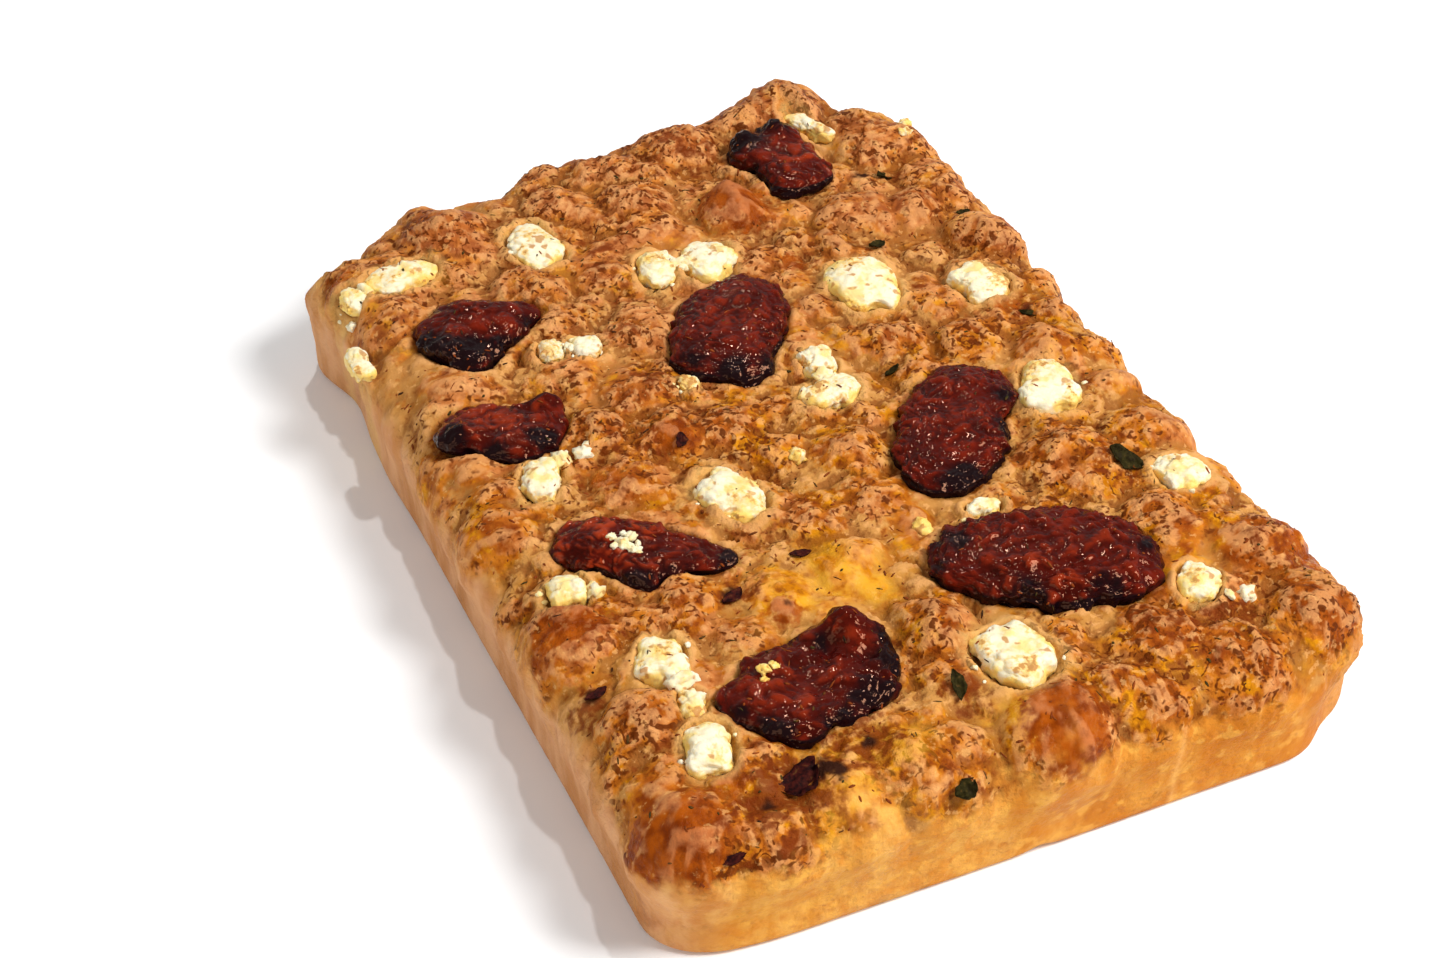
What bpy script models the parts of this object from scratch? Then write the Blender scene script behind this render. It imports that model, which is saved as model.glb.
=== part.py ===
# A baked focaccia: a rectangular slab of knobbly dough, with roasted tomato halves, lumps of
# crumbly white cheese and flakes of dried herb baked into its top.
# Units are metres and +Z is up. The short sides run along X and the long sides along Y.
# The origin is under the middle of the slab, on the surface that it rests on.

import math

import bmesh
import bpy
import numpy as np
from mathutils import Matrix, Vector
from mathutils.bvhtree import BVHTree

MM = 0.001

# Driving sizes of the slab
WIDTH = 0.193
LENGTH = 0.277
BED_HEIGHT = 0.0330
ROLL_RADIUS = 0.0136
FOOT_ROUNDING = 0.0022
BACK_LEFT_RADIUS = 0.042
BACK_RIGHT_RADIUS = 0.024
FRONT_LEFT_RADIUS = 0.019
FRONT_RIGHT_RADIUS = 0.026

# How finely the slab is faceted
CELLS_ACROSS = 34
CELLS_ALONG = 49
WALL_LEVELS = (0.55, 0.12, 0.0)

# Clearance between the dough and each topping that is baked into it
GAP = 0.00035

# Slow swells of the outline: where, how far along the edge, and how far out, all in mm
SWELLS = (
    (-35, 138, 10, -5.0), (-56, 130, 9, 2.4), (-77, 130, 8, -5.0), (-92, 115, 9, 7.0),
    (-97, 92, 9, -2.0), (-96, 54, 10, 0.8), (-20, 138, 9, 2.8), (6, 138, 12, 4.0),
    (33, 138, 10, 3.2), (66, 136, 12, 3.4), (94, 117, 7, 1.8), (94, 92, 10, 3.2),
    (94, 76, 7, 2.0), (95, 62, 9, 5.2), (95, 43, 6, -2.0), (95, 30, 4, 2.6),
    (95, 21, 4, -1.4), (96, -4, 8, 2.0), (96, -17, 6, -2.8), (96, -38, 7, 2.8),
    (96, -53, 7, -2.2), (96, -74, 4, -1.0), (96, -88, 7, 3.8), (96, -109, 7, 3.2),
    (96, -122, 8, 2.4), (87, -133, 6, -2.2), (94, -50, 30, 1.2), (-60, -138, 30, -0.4),
    (-83, -137, 8, -1.6), (-94, -90, 40, -0.6),
)

# Main knobs of the dough: x, y, reach and rise in mm
KNOBS = (
    (-86, 105, 13, 3.0), (-57, 113, 16, 5.0), (-61, 98, 11, 3.5), (-44, 79, 13, 4.0),
    (-85, 81, 11, 3.5), (-78, 43, 15, 4.5), (-101, 48, 9, 2.5), (-47, 37, 10, 3.0),
    (-22, 48, 14, 4.0), (-42, 62, 11, 3.0), (-21, 113, 13, 4.0), (-1, 106, 12, 4.5),
    (62, 137, 16, 9.0), (46, 137, 13, 6.2), (23, 131, 15, 5.0), (1, 126, 11, 3.5),
    (-4, 92, 13, 4.0), (24, 92, 11, 6.5), (78, 107, 14, 4.5), (57, 76, 14, 4.5),
    (44, 64, 9, 3.5), (24, 66, 9, 3.0), (-22, 78, 12, 3.5), (74, 70, 12, 4.5),
    (86, 49, 12, 6.0), (84, 10, 9, 3.5), (58, 26, 11, 3.5), (38, 16, 12, 4.0),
    (58, 6, 12, 4.0), (76, -6, 13, 4.5), (58, -50, 17, 5.0), (82, -46, 12, 3.5),
    (66, -83, 15, 4.5), (83, -97, 13, 5.0), (85, -122, 14, 5.0), (44, -116, 14, 4.0),
    (-86, -58, 15, 5.0), (-55, -57, 10, 3.5), (-49, -76, 11, 3.0), (-81, -92, 12, 5.0),
    (-98, -52, 11, 3.0), (-95, -101, 10, 3.0), (-6, -92, 13, 5.0), (-9, -107, 10, 3.0),
    (22, -106, 8, 3.0), (7, -133, 16, 5.5), (-29, -128, 12, 4.0), (-88, -127, 16, 5.0),
    (-68, -137, 13, 4.0), (-47, -133, 13, 3.5), (31, -131, 12, 3.5), (58, -130, 14, 4.0),
    (-34, 23, 13, 4.0), (-50, 12, 12, 4.0), (-34, 1, 12, 4.5), (-50, -13, 13, 3.5),
    (-100, 7, 13, 3.5), (-92, -14, 13, 4.0), (-19, -1, 12, 4.0), (6, -23, 12, 4.5),
    (4, -42, 12, 3.5), (-12, -42, 12, 3.0), (28, 22, 9, 3.0), (-15, -62, 11, 3.5),
    (-35, -66, 12, 3.5), (-92, 20, 9, 3.0), (-100, 82, 10, 2.5), (10, 118, 10, 3.0),
    (88, 104, 11, 3.5), (87, 84, 11, 3.5), (92, -66, 9, 2.5), (90, -10, 9, 2.5),
    (80, 117, 12, 4.0), (-21, 136, 10, 4.0),
)

# Smaller knobs fill the dough between them, by a seeded rule
FILL_PITCH = 0.0125
FILL_REACH = (0.0070, 0.0100)
FILL_RISE = (0.0012, 0.0030)
FILL_JITTER = 0.35
FILL_CLEARANCE = 0.72
FILL_SEED = 11
KNOB_BLEND = 4
KNOB_LIFT = 1.6
KNOB_ROUNDNESS = 0.85

# The relief is full on the top and dies away down the wall, ending at this share of its height
RELIEF_END = 0.45

# Roasted tomato halves: x, y and level of the middle, turn in degrees, crown and keel heights,
# the outline's radius each 30 degrees round from the turned axis, and curled parts as
# offsets dx, dy with a reach and a rise, all in mm
TOMATOES = {
    "tomato_back": (48, 108, 37.0, 94, 4.4, 4.4,
                    (16, 17, 16, 10, 11, 17, 18, 17, 13, 11, 13, 18),
                    ((-6, 11, 5, 2.2), (4, 11, 5, 2.4))),
    "tomato_back_left": (-66, 65, 36.4, 13, 4.6, 4.2,
                         (20, 13, 12, 15, 16, 17, 16, 16, 18, 13, 11, 15),
                         ((4, 8, 8, 1.4), (-12, -6, 6, 0.8))),
    "tomato_left": (-73, 22, 35.8, 180, 4.4, 4.2,
                    (18, 12, 13, 14, 15, 16, 17, 14, 9, 10, 14, 18),
                    ((15, 5, 5, 2.8), (-14, 0, 5, 1.2))),
    "tomato_middle_back": (-1, 37, 36.4, 55, 5.0, 4.4,
                           (25, 20, 18, 16, 18, 23, 23, 24, 16, 15, 17, 23),
                           ((9, 12, 9, 1.0), (-12, -6, 7, 0.8))),
    "tomato_right": (36, -26, 36.2, 51, 5.0, 4.6,
                     (27, 22, 17, 16, 17, 23, 29, 23, 17, 14, 14, 24),
                     ((8, 14, 8, 1.2), (-8, -16, 7, -1.0))),
    "tomato_front_left": (-62, -36, 36.0, 149, 4.2, 4.0,
                          (20, 16, 10, 12, 15, 15, 27, 15, 12, 11, 13, 18),
                          ((-9, 5, 8, 1.0), (19, -10, 5, -1.2))),
    "tomato_front_right": (31, -82, 36.6, 163, 6.0, 4.6,
                           (30, 22, 18, 18, 20, 28, 29, 24, 20, 18, 20, 25),
                           ((-16, 4, 9, -0.8), (10, 4, 12, 0.8))),
    "tomato_front": (-41, -98, 36.4, 27, 4.6, 4.4,
                     (25, 20, 16, 17, 19, 24, 20, 20, 14, 16, 20, 21),
                     ((16, 13, 7, 4.6), (0, 2, 8, -1.8), (17, -5, 5, 1.6))),
}
TOMATO_SEGMENTS = 18
TOMATO_RINGS = 7
TOMATO_EDGE_FULLNESS = 0.75
TOMATO_CROWN_FLATNESS = 0.9
TOMATO_CURL_BELOW = 0.4

# Lumps of cheese: x, y and level of the middle, half sizes along and across, turn, crown, in mm
CHEESE = {
    "cheese_back_left": (-76, 98.5, 36.0, 11.0, 6.2, 14, 3.4),
    "cheese_back_left_end": (-91, 96, 34.6, 3.8, 5.4, 10, 2.8),
    "cheese_back": (-36, 97, 36.0, 7.0, 11.0, 12, 3.2),
    "cheese_left_rim": (-98.5, 70, 32.6, 3.2, 6.6, 4, 2.6),
    "cheese_by_tomato_a": (-50.0, 48.4, 36.0, 3.8, 4.6, 20, 3.2),
    "cheese_by_tomato_b": (-40.6, 46.6, 36.2, 4.9, 4.6, -6, 3.4),
    "cheese_middle_a": (-8.6, 72, 36.2, 5.8, 8.4, -12, 3.4),
    "cheese_middle_b": (6.2, 69.5, 36.4, 8.0, 9.0, -18, 3.8),
    "cheese_right_back": (42.4, 41, 36.2, 9.2, 12.0, 0, 4.2),
    "cheese_right_rim": (73, 28, 36.2, 7.6, 8.4, 8, 4.0),
    "cheese_centre_a": (15.0, 14.0, 36.0, 5.0, 6.0, 0, 3.4),
    "cheese_centre_b": (12, 0.8, 36.0, 8.0, 6.0, 4, 3.6),
    "cheese_right": (66.5, -22, 36.4, 8.0, 10.4, -22, 4.2),
    "cheese_left": (-72, -1.2, 35.8, 5.4, 8.4, -28, 3.8),
    "cheese_middle": (-30, -27, 36.0, 6.8, 11.0, 24, 3.8),
    "cheese_front_left": (-82, -44.5, 35.8, 5.6, 5.4, -20, 3.8),
    "cheese_front_a": (-70.4, -76, 36.0, 6.2, 7.8, -24, 3.8),
    "cheese_front_b": (-69.4, -92.0, 35.8, 3.6, 5.2, -6, 3.4),
    "cheese_front_corner": (-71.6, -107, 35.8, 6.2, 8.4, -16, 3.6),
    "cheese_front": (7.4, -109, 36.2, 9.6, 11.4, 16, 4.2),
    "cheese_front_right": (62.0, -104.4, 35.8, 5.6, 7.0, -34, 3.4),
    "cheese_right_edge": (80.6, -66, 36.0, 6.8, 6.4, 12, 3.2),
    "cheese_behind_tomato": (27, -57.8, 35.4, 5.4, 3.0, -8, 3.0),
    "cheese_yellow": (-21.6, 19.4, 35.8, 3.3, 3.6, 0, 3.0),
    "cheese_far_back": (63.6, 121, 37.2, 3.2, 8.6, 30, 3.2),
}
CHEESE_KEEL = 3.2
CHEESE_SQUARENESS = 2.7
CHEESE_RAGGED = 0.10
CHEESE_SEED = 5

# The dough is pressed level round a topping, half-way up its side, and its knobs begin outside
# that, as shares of the topping's own outline
SEAT_INSIDE = 0.95
SEAT_OUTSIDE = 1.25
SEAT_LEVEL = 0.0020

# Herb: large burnt leaves at x, y with half length, half width and turn, in mm and degrees
BURNT_LEAVES = (
    (68, -58, 4.2, 2.6, -50), (-23, -54, 3.4, 1.5, 0), (-10, -113, 3.2, 1.5, 70),
    (-21, -138, 3.0, 2.2, 20), (-56, -124, 4.0, 3.0, 10), (-88, -78, 3.6, 1.4, 15),
    (74, 90, 4.0, 1.8, 25), (79, 10, 3.6, 1.2, -50), (-34, -4, 2.4, 1.6, 60),
    (-45, -62, 2.6, 1.6, 20), (33, 4, 2.4, 1.4, 10), (55, 57, 2.6, 1.8, 0),
    (86, 62, 2.2, 1.6, 0), (-79, -136, 3.2, 1.2, 0),
)
FLAKE_COUNT = 24
FLAKE_HALF_LENGTH = (0.0020, 0.0034)
FLAKE_HALF_WIDTH = (0.0006, 0.0010)
FLAKE_HALF_THICKNESS = 0.0005
FLAKE_CLEARANCE = 0.0012
FLAKE_STEEPEST = 0.35
FLAKE_SEED = 23

# Middle of the whole extent, measured on the slab's own axes, which becomes the origin
MIDDLE = (0.0002, 0.0037)

HALF_WIDTH = WIDTH / 2
HALF_LENGTH = LENGTH / 2
WALL_HEIGHT = BED_HEIGHT - ROLL_RADIUS
QUARTER = math.pi / 2


def clear_scene():
    for scene_object in list(bpy.data.objects):
        bpy.data.objects.remove(scene_object, do_unlink=True)


def make_collection(name):
    collection = bpy.data.collections.new(name)
    bpy.context.scene.collection.children.link(collection)
    return collection


def make_material(name, colour, roughness):
    material = bpy.data.materials.new(name)
    material.use_nodes = True
    shader = material.node_tree.nodes["Principled BSDF"]
    shader.inputs["Base Color"].default_value = (*colour, 1.0)
    shader.inputs["Roughness"].default_value = roughness
    shader.inputs["Metallic"].default_value = 0.0
    return material


def make_object(name, shape, collection, material):
    """An object from a finished shape, cut into triangles so that no face is twisted."""
    bmesh.ops.triangulate(shape, faces=shape.faces)
    mesh = bpy.data.meshes.new(name)
    shape.to_mesh(mesh)
    shape.free()
    mesh.materials.append(material)
    made = bpy.data.objects.new(name, mesh)
    collection.objects.link(made)
    return made


def ease(t):
    t = np.clip(t, 0.0, 1.0)
    return t * t * (3.0 - 2.0 * t)


# Plan of the toppings

def lobed_radius(angle, radii):
    """Radius of a closed outline at an angle, a smooth curve through evenly spaced radii."""
    count = len(radii)
    place = np.mod(angle / (2 * math.pi) * count, count)
    left = np.floor(place).astype(int) % count
    t = place - np.floor(place)
    values = np.asarray(radii, float)
    before, start = values[left - 1], values[left]
    end, after = values[(left + 1) % count], values[(left + 2) % count]
    slope_in = (end - before) / 2
    slope_out = (after - start) / 2
    return ((2 * t**3 - 3 * t**2 + 1) * start + (t**3 - 2 * t**2 + t) * slope_in
            + (3 * t**2 - 2 * t**3) * end + (t**3 - t**2) * slope_out)


def boxy_radius(angle, half_along, half_across, squareness):
    along = np.abs(np.cos(angle) / half_along) ** squareness
    across = np.abs(np.sin(angle) / half_across) ** squareness
    return (along + across) ** (-1.0 / squareness)


def footprints():
    """Every topping as a middle and a function from angle to radius, in metres."""
    found = []
    for x, y, _level, turn, _crown, _keel, radii, _curls in TOMATOES.values():
        def edge(angle, radii=radii, turn=math.radians(turn)):
            return lobed_radius(angle - turn, radii) * MM
        found.append((x * MM, y * MM, edge))
    for x, y, _level, along, across, turn, _crown in CHEESE.values():
        def edge(angle, along=along, across=across, turn=math.radians(turn)):
            return boxy_radius(angle - turn, along, across, CHEESE_SQUARENESS) * MM
        found.append((x * MM, y * MM, edge))
    return found


def seat_at(x, y, toppings):
    """1 under a topping, 0 away from all of them, and smooth between."""
    seat = np.zeros_like(x)
    for middle_x, middle_y, edge in toppings:
        far = np.hypot(x - middle_x, y - middle_y)
        share = far / edge(np.arctan2(y - middle_y, x - middle_x))
        near = 1.0 - ease((share - SEAT_INSIDE) / (SEAT_OUTSIDE - SEAT_INSIDE))
        seat = np.maximum(seat, near)
    return seat


# Relief of the dough

def all_knobs(toppings):
    """The main knobs, and smaller ones on a jittered lattice wherever there is room for them."""
    knobs = [tuple(value * MM for value in knob) for knob in KNOBS]
    rng = np.random.default_rng(FILL_SEED)
    rows = int(LENGTH / FILL_PITCH) + 1
    columns = int(WIDTH / FILL_PITCH) + 1
    for row in range(rows):
        for column in range(columns):
            shift = rng.uniform(-FILL_JITTER, FILL_JITTER, 2) * FILL_PITCH
            reach = rng.uniform(*FILL_REACH)
            rise = rng.uniform(*FILL_RISE)
            x = (column - (columns - 1) / 2 + 0.5 * (row % 2)) * FILL_PITCH + shift[0]
            y = (row - (rows - 1) / 2) * FILL_PITCH + shift[1]
            crowded = any(math.hypot(x - k[0], y - k[1]) < FILL_CLEARANCE * k[2] for k in knobs)
            covered = seat_at(np.array([x]), np.array([y]), toppings)[0] > 0.5
            if not crowded and not covered:
                knobs.append((x, y, reach, rise))
    return knobs


def rise_at(x, y, knobs, toppings):
    """Height of the dough over its bed: knobs that meet in soft creases, pressed under toppings."""
    total = np.zeros_like(x)
    for knob_x, knob_y, reach, rise in knobs:
        share = ((x - knob_x) ** 2 + (y - knob_y) ** 2) / reach ** 2
        dome = np.clip(1.0 - share, 0.0, 1.0) ** KNOB_ROUNDNESS
        total += (KNOB_LIFT * rise * dome) ** KNOB_BLEND
    seat = seat_at(x, y, toppings)
    return total ** (1.0 / KNOB_BLEND) * (1.0 - seat) + SEAT_LEVEL * seat


# Form of the slab

def outline_at(border_u, border_v):
    """Point of the slab's outline and the way out there, for a border point of a unit square."""
    x = border_u * HALF_WIDTH
    y = border_v * HALF_LENGTH
    right = np.where(y > 0, BACK_RIGHT_RADIUS, FRONT_RIGHT_RADIUS)
    left = np.where(y > 0, BACK_LEFT_RADIUS, FRONT_LEFT_RADIUS)
    radius = np.where(x > 0, right, left)
    core_x = np.clip(x, radius - HALF_WIDTH, HALF_WIDTH - radius)
    core_y = np.clip(y, radius - HALF_LENGTH, HALF_LENGTH - radius)
    core = np.stack([core_x, core_y], axis=-1)
    out = np.stack([x, y], axis=-1) - core
    out /= np.linalg.norm(out, axis=-1, keepdims=True)
    point = core + out * radius[..., None]
    push = np.zeros_like(x)
    for swell_x, swell_y, reach, amount in SWELLS:
        far = ((point[..., 0] - swell_x * MM) ** 2 + (point[..., 1] - swell_y * MM) ** 2)
        push += amount * MM * np.exp(-far / (2 * (reach * MM) ** 2))
    return point + out * push[..., None], out


def top_at(u, v):
    """Bed surface and its normal for a point of the unit square, rolled over at the rim."""
    ring = np.maximum(np.abs(u), np.abs(v))
    middle = ring < 1e-6
    safe_ring = np.where(middle, 1.0, ring)
    edge, out = outline_at(np.where(middle, 1.0, u / safe_ring), v / safe_ring)
    half = np.array([HALF_WIDTH, HALF_LENGTH])
    unrolled = half + ROLL_RADIUS * (QUARTER - 1.0)
    run = (1.0 - ring)[:, None] * unrolled
    turn = np.minimum(run / ROLL_RADIUS, QUARTER)
    inset = np.where(run < ROLL_RADIUS * QUARTER, ROLL_RADIUS * (1.0 - np.cos(turn)),
                     run - ROLL_RADIUS * (QUARTER - 1.0))
    plan = edge * (1.0 - inset / half)
    lean = (out ** 2 * turn).sum(axis=1)
    height = WALL_HEIGHT + ROLL_RADIUS * np.sin(lean)
    normal = np.column_stack([out * np.cos(lean)[:, None], np.sin(lean)])
    return np.column_stack([plan, height]), normal


def with_relief(bed, normal, knobs, toppings):
    """Bed points moved out along their normals by the relief, which fades down the wall."""
    rise = rise_at(bed[:, 0], bed[:, 1], knobs, toppings)
    lowest = RELIEF_END * WALL_HEIGHT
    fade = ease((bed[:, 2] - lowest) / (BED_HEIGHT - lowest))
    return bed + normal * (rise * fade)[:, None]


def read_points(vertices):
    return np.array([vertex.co for vertex in vertices], dtype=float)


def write_points(vertices, points):
    for vertex, point in zip(vertices, points):
        vertex.co = Vector(point)


def build_slab(knobs, toppings, collection, material):
    """A grid rolled over the rim, its border drawn down in rows as the wall, and a flat base."""
    shape = bmesh.new()
    bmesh.ops.create_grid(shape, x_segments=CELLS_ACROSS, y_segments=CELLS_ALONG, size=1.0)
    top_vertices = list(shape.verts)
    square = read_points(top_vertices)
    border = [edge for edge in shape.edges if edge.is_boundary]
    rows = []
    for level in WALL_LEVELS:
        drawn = bmesh.ops.extrude_edge_only(shape, edges=border)["geom"]
        border = [item for item in drawn if isinstance(item, bmesh.types.BMEdge)]
        rows.append([item for item in drawn if isinstance(item, bmesh.types.BMVert)])
    bmesh.ops.contextual_create(shape, geom=border)

    bed, normal = top_at(square[:, 0], square[:, 1])
    for level, row in zip(WALL_LEVELS, rows):
        unit = read_points(row)
        edge, out = outline_at(unit[:, 0], unit[:, 1])
        if level == 0.0:
            edge = edge - out * FOOT_ROUNDING
        wall = np.column_stack([edge, np.full(len(edge), level * WALL_HEIGHT)])
        sideways = np.column_stack([out, np.zeros(len(out))])
        write_points(row, with_relief(wall, sideways, knobs, toppings))
    write_points(top_vertices, with_relief(bed, normal, knobs, toppings))
    bmesh.ops.recalc_face_normals(shape, faces=shape.faces)
    return make_object("bread", shape, collection, material)


# Toppings

def build_tomato(name, row, collection, material):
    """A flattened ball drawn out to the lobed outline, with a crown, a keel and curled parts."""
    x, y, level, turn, crown, keel, radii, curls = row
    shape = bmesh.new()
    bmesh.ops.create_uvsphere(shape, u_segments=TOMATO_SEGMENTS, v_segments=TOMATO_RINGS, radius=1.0)
    points = read_points(shape.verts)
    angle = np.arctan2(points[:, 1], points[:, 0])
    flat = np.hypot(points[:, 0], points[:, 1])
    radius = lobed_radius(angle - math.radians(turn), radii) * flat ** TOMATO_EDGE_FULLNESS
    plan_x = radius * np.cos(angle)
    plan_y = radius * np.sin(angle)
    share = np.sign(points[:, 2]) * np.abs(points[:, 2]) ** TOMATO_CROWN_FLATNESS
    height = np.where(share > 0, crown, keel) * share
    for curl_x, curl_y, reach, rise in curls:
        far = ((plan_x - curl_x) ** 2 + (plan_y - curl_y) ** 2) / reach ** 2
        height += np.where(share > -0.2, 1.0, TOMATO_CURL_BELOW) * rise * np.exp(-far)
    moved = np.column_stack([plan_x + x, plan_y + y, height + level]) * MM
    write_points(shape.verts, moved)
    made = make_object(name, shape, collection, material)
    made.data.shade_smooth()
    return made


def build_cheese(name, row, rng, collection, material):
    """A boxy lump with ragged corners, as a crumbly cheese breaks."""
    x, y, level, half_along, half_across, turn, crown = row
    shape = bmesh.new()
    bmesh.ops.create_icosphere(shape, subdivisions=2, radius=1.0)
    points = read_points(shape.verts)
    power = (np.abs(points) ** CHEESE_SQUARENESS).sum(axis=1) ** (-1.0 / CHEESE_SQUARENESS)
    ragged = 1.0 + rng.uniform(-CHEESE_RAGGED, CHEESE_RAGGED, len(points))
    points *= (power * ragged)[:, None]
    height = np.where(points[:, 2] > 0, crown, CHEESE_KEEL) * points[:, 2]
    cos_turn, sin_turn = math.cos(math.radians(turn)), math.sin(math.radians(turn))
    along, across = points[:, 0] * half_along, points[:, 1] * half_across
    plan_x = along * cos_turn - across * sin_turn
    plan_y = along * sin_turn + across * cos_turn
    write_points(shape.verts, np.column_stack([plan_x + x, plan_y + y, height + level]) * MM)
    return make_object(name, shape, collection, material)


# Joining and cutting

def swollen_copy(source, amount, collection):
    """A copy whose skin lies outside the source's by an amount, to cut its pocket with."""
    shape = bmesh.new()
    shape.from_mesh(source.data)
    shape.normal_update()
    moves = [vertex.normal * amount * vertex.calc_shell_factor() for vertex in shape.verts]
    for vertex, move in zip(shape.verts, moves):
        vertex.co += move
    mesh = bpy.data.meshes.new(source.name + "_pocket")
    shape.to_mesh(mesh)
    shape.free()
    copy = bpy.data.objects.new(mesh.name, mesh)
    copy.display_type = "WIRE"
    copy.hide_render = True
    collection.objects.link(copy)
    return copy


def apply_boolean(target, operation, tools):
    """One Boolean on a whole collection, applied, with the collection's objects then removed."""
    boolean = target.modifiers.new(operation.lower(), "BOOLEAN")
    boolean.operation = operation
    boolean.operand_type = "COLLECTION"
    boolean.collection = tools
    boolean.solver = "EXACT"
    graph = bpy.context.evaluated_depsgraph_get()
    result = bpy.data.meshes.new_from_object(target.evaluated_get(graph))
    target.modifiers.clear()
    spent = target.data
    target.data = result
    bpy.data.meshes.remove(spent)
    for tool in list(tools.objects):
        bpy.data.objects.remove(tool, do_unlink=True)


def keep_largest_body(target):
    """Drops every scrap that isn't joined to the main body."""
    shape = bmesh.new()
    shape.from_mesh(target.data)
    waiting = set(shape.verts)
    bodies = []
    while waiting:
        start = waiting.pop()
        body, front = {start}, [start]
        while front:
            for edge in front.pop().link_edges:
                for vertex in edge.verts:
                    if vertex in waiting:
                        waiting.discard(vertex)
                        body.add(vertex)
                        front.append(vertex)
        bodies.append(body)
    bodies.sort(key=len)
    scraps = [vertex for body in bodies[:-1] for vertex in body]
    bmesh.ops.delete(shape, geom=scraps, context="VERTS")
    shape.to_mesh(target.data)
    shape.free()


def surface_tree(target):
    shape = bmesh.new()
    shape.from_mesh(target.data)
    tree = BVHTree.FromBMesh(shape)
    shape.free()
    return tree


# Herb flakes

def build_flake(place, normal, half_length, half_width, turn, collection, material):
    """A lens-shaped leaf half sunk in the dough and lying along it."""
    shape = bmesh.new()
    bmesh.ops.create_icosphere(shape, subdivisions=1, radius=1.0)
    size = Matrix.Diagonal((half_length, half_width, FLAKE_HALF_THICKNESS, 1.0))
    spin = Matrix.Rotation(turn, 4, "Z")
    lay = Vector((0.0, 0.0, 1.0)).rotation_difference(normal).to_matrix().to_4x4()
    shape.transform(Matrix.Translation(place) @ lay @ spin @ size)
    return make_object("flake", shape, collection, material)


def scatter_flakes(bread, toppings_made, collection, material):
    """The large burnt leaves where they lie, then small flakes at random clear of all else."""
    bread_tree = surface_tree(bread)
    topping_trees = [surface_tree(topping) for topping in toppings_made]
    down = Vector((0.0, 0.0, -1.0))
    taken = []

    def lay_flake(x, y, half_length, half_width, turn):
        place, normal, _face, _far = bread_tree.ray_cast(Vector((x, y, LENGTH)), down)
        if place is None or normal.z < FLAKE_STEEPEST:
            return False
        free = half_length + FLAKE_CLEARANCE
        for tree in topping_trees:
            if tree.find_nearest(place, free)[0] is not None:
                return False
        if any((place - other).length < free + reach for other, reach in taken):
            return False
        taken.append((place, half_length))
        build_flake(place, normal, half_length, half_width, turn, collection, material)
        return True

    for x, y, half_length, half_width, turn in BURNT_LEAVES:
        lay_flake(x * MM, y * MM, half_length * MM, half_width * MM, math.radians(turn))
    rng = np.random.default_rng(FLAKE_SEED)
    laid = 0
    while laid < FLAKE_COUNT:
        x = rng.uniform(-HALF_WIDTH, HALF_WIDTH)
        y = rng.uniform(-HALF_LENGTH, HALF_LENGTH)
        half_length = rng.uniform(*FLAKE_HALF_LENGTH)
        half_width = rng.uniform(*FLAKE_HALF_WIDTH)
        turn = rng.uniform(0.0, math.pi)
        laid += lay_flake(x, y, half_length, half_width, turn)


def main():
    clear_scene()
    parts = make_collection("focaccia")
    pockets = make_collection("pockets")
    flakes = make_collection("flakes")
    crust = make_material("crust", (0.62, 0.33, 0.12), 0.55)
    tomato_skin = make_material("tomato_skin", (0.22, 0.03, 0.015), 0.30)
    cheese_white = make_material("cheese_white", (0.90, 0.84, 0.62), 0.60)

    toppings = footprints()
    knobs = all_knobs(toppings)
    bread = build_slab(knobs, toppings, parts, crust)
    made = [build_tomato(name, row, parts, tomato_skin) for name, row in TOMATOES.items()]
    rng = np.random.default_rng(CHEESE_SEED)
    made += [build_cheese(name, row, rng, parts, cheese_white) for name, row in CHEESE.items()]
    for topping in made:
        swollen_copy(topping, GAP, pockets)
    apply_boolean(bread, "DIFFERENCE", pockets)
    keep_largest_body(bread)
    scatter_flakes(bread, made, flakes, crust)
    apply_boolean(bread, "UNION", flakes)
    keep_largest_body(bread)
    bread.data.shade_smooth()
    for piece in parts.objects:
        piece.data.transform(Matrix.Translation((-MIDDLE[0], -MIDDLE[1], 0.0)))


main()
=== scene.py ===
# %% [markdown]
# # A focaccia with roasted tomatoes and white cheese
# This notebook dresses one slab of baked focaccia. The solids of the bread, the tomato halves
# and the lumps of cheese come packed, at their real size in metres, and they fix where each
# piece is. What is made here is what an eye looks for in baked bread: a crust with grain,
# creases and blisters, skins that shrivelled in the oven, cheese that crumbles, and dried herb.

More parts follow.
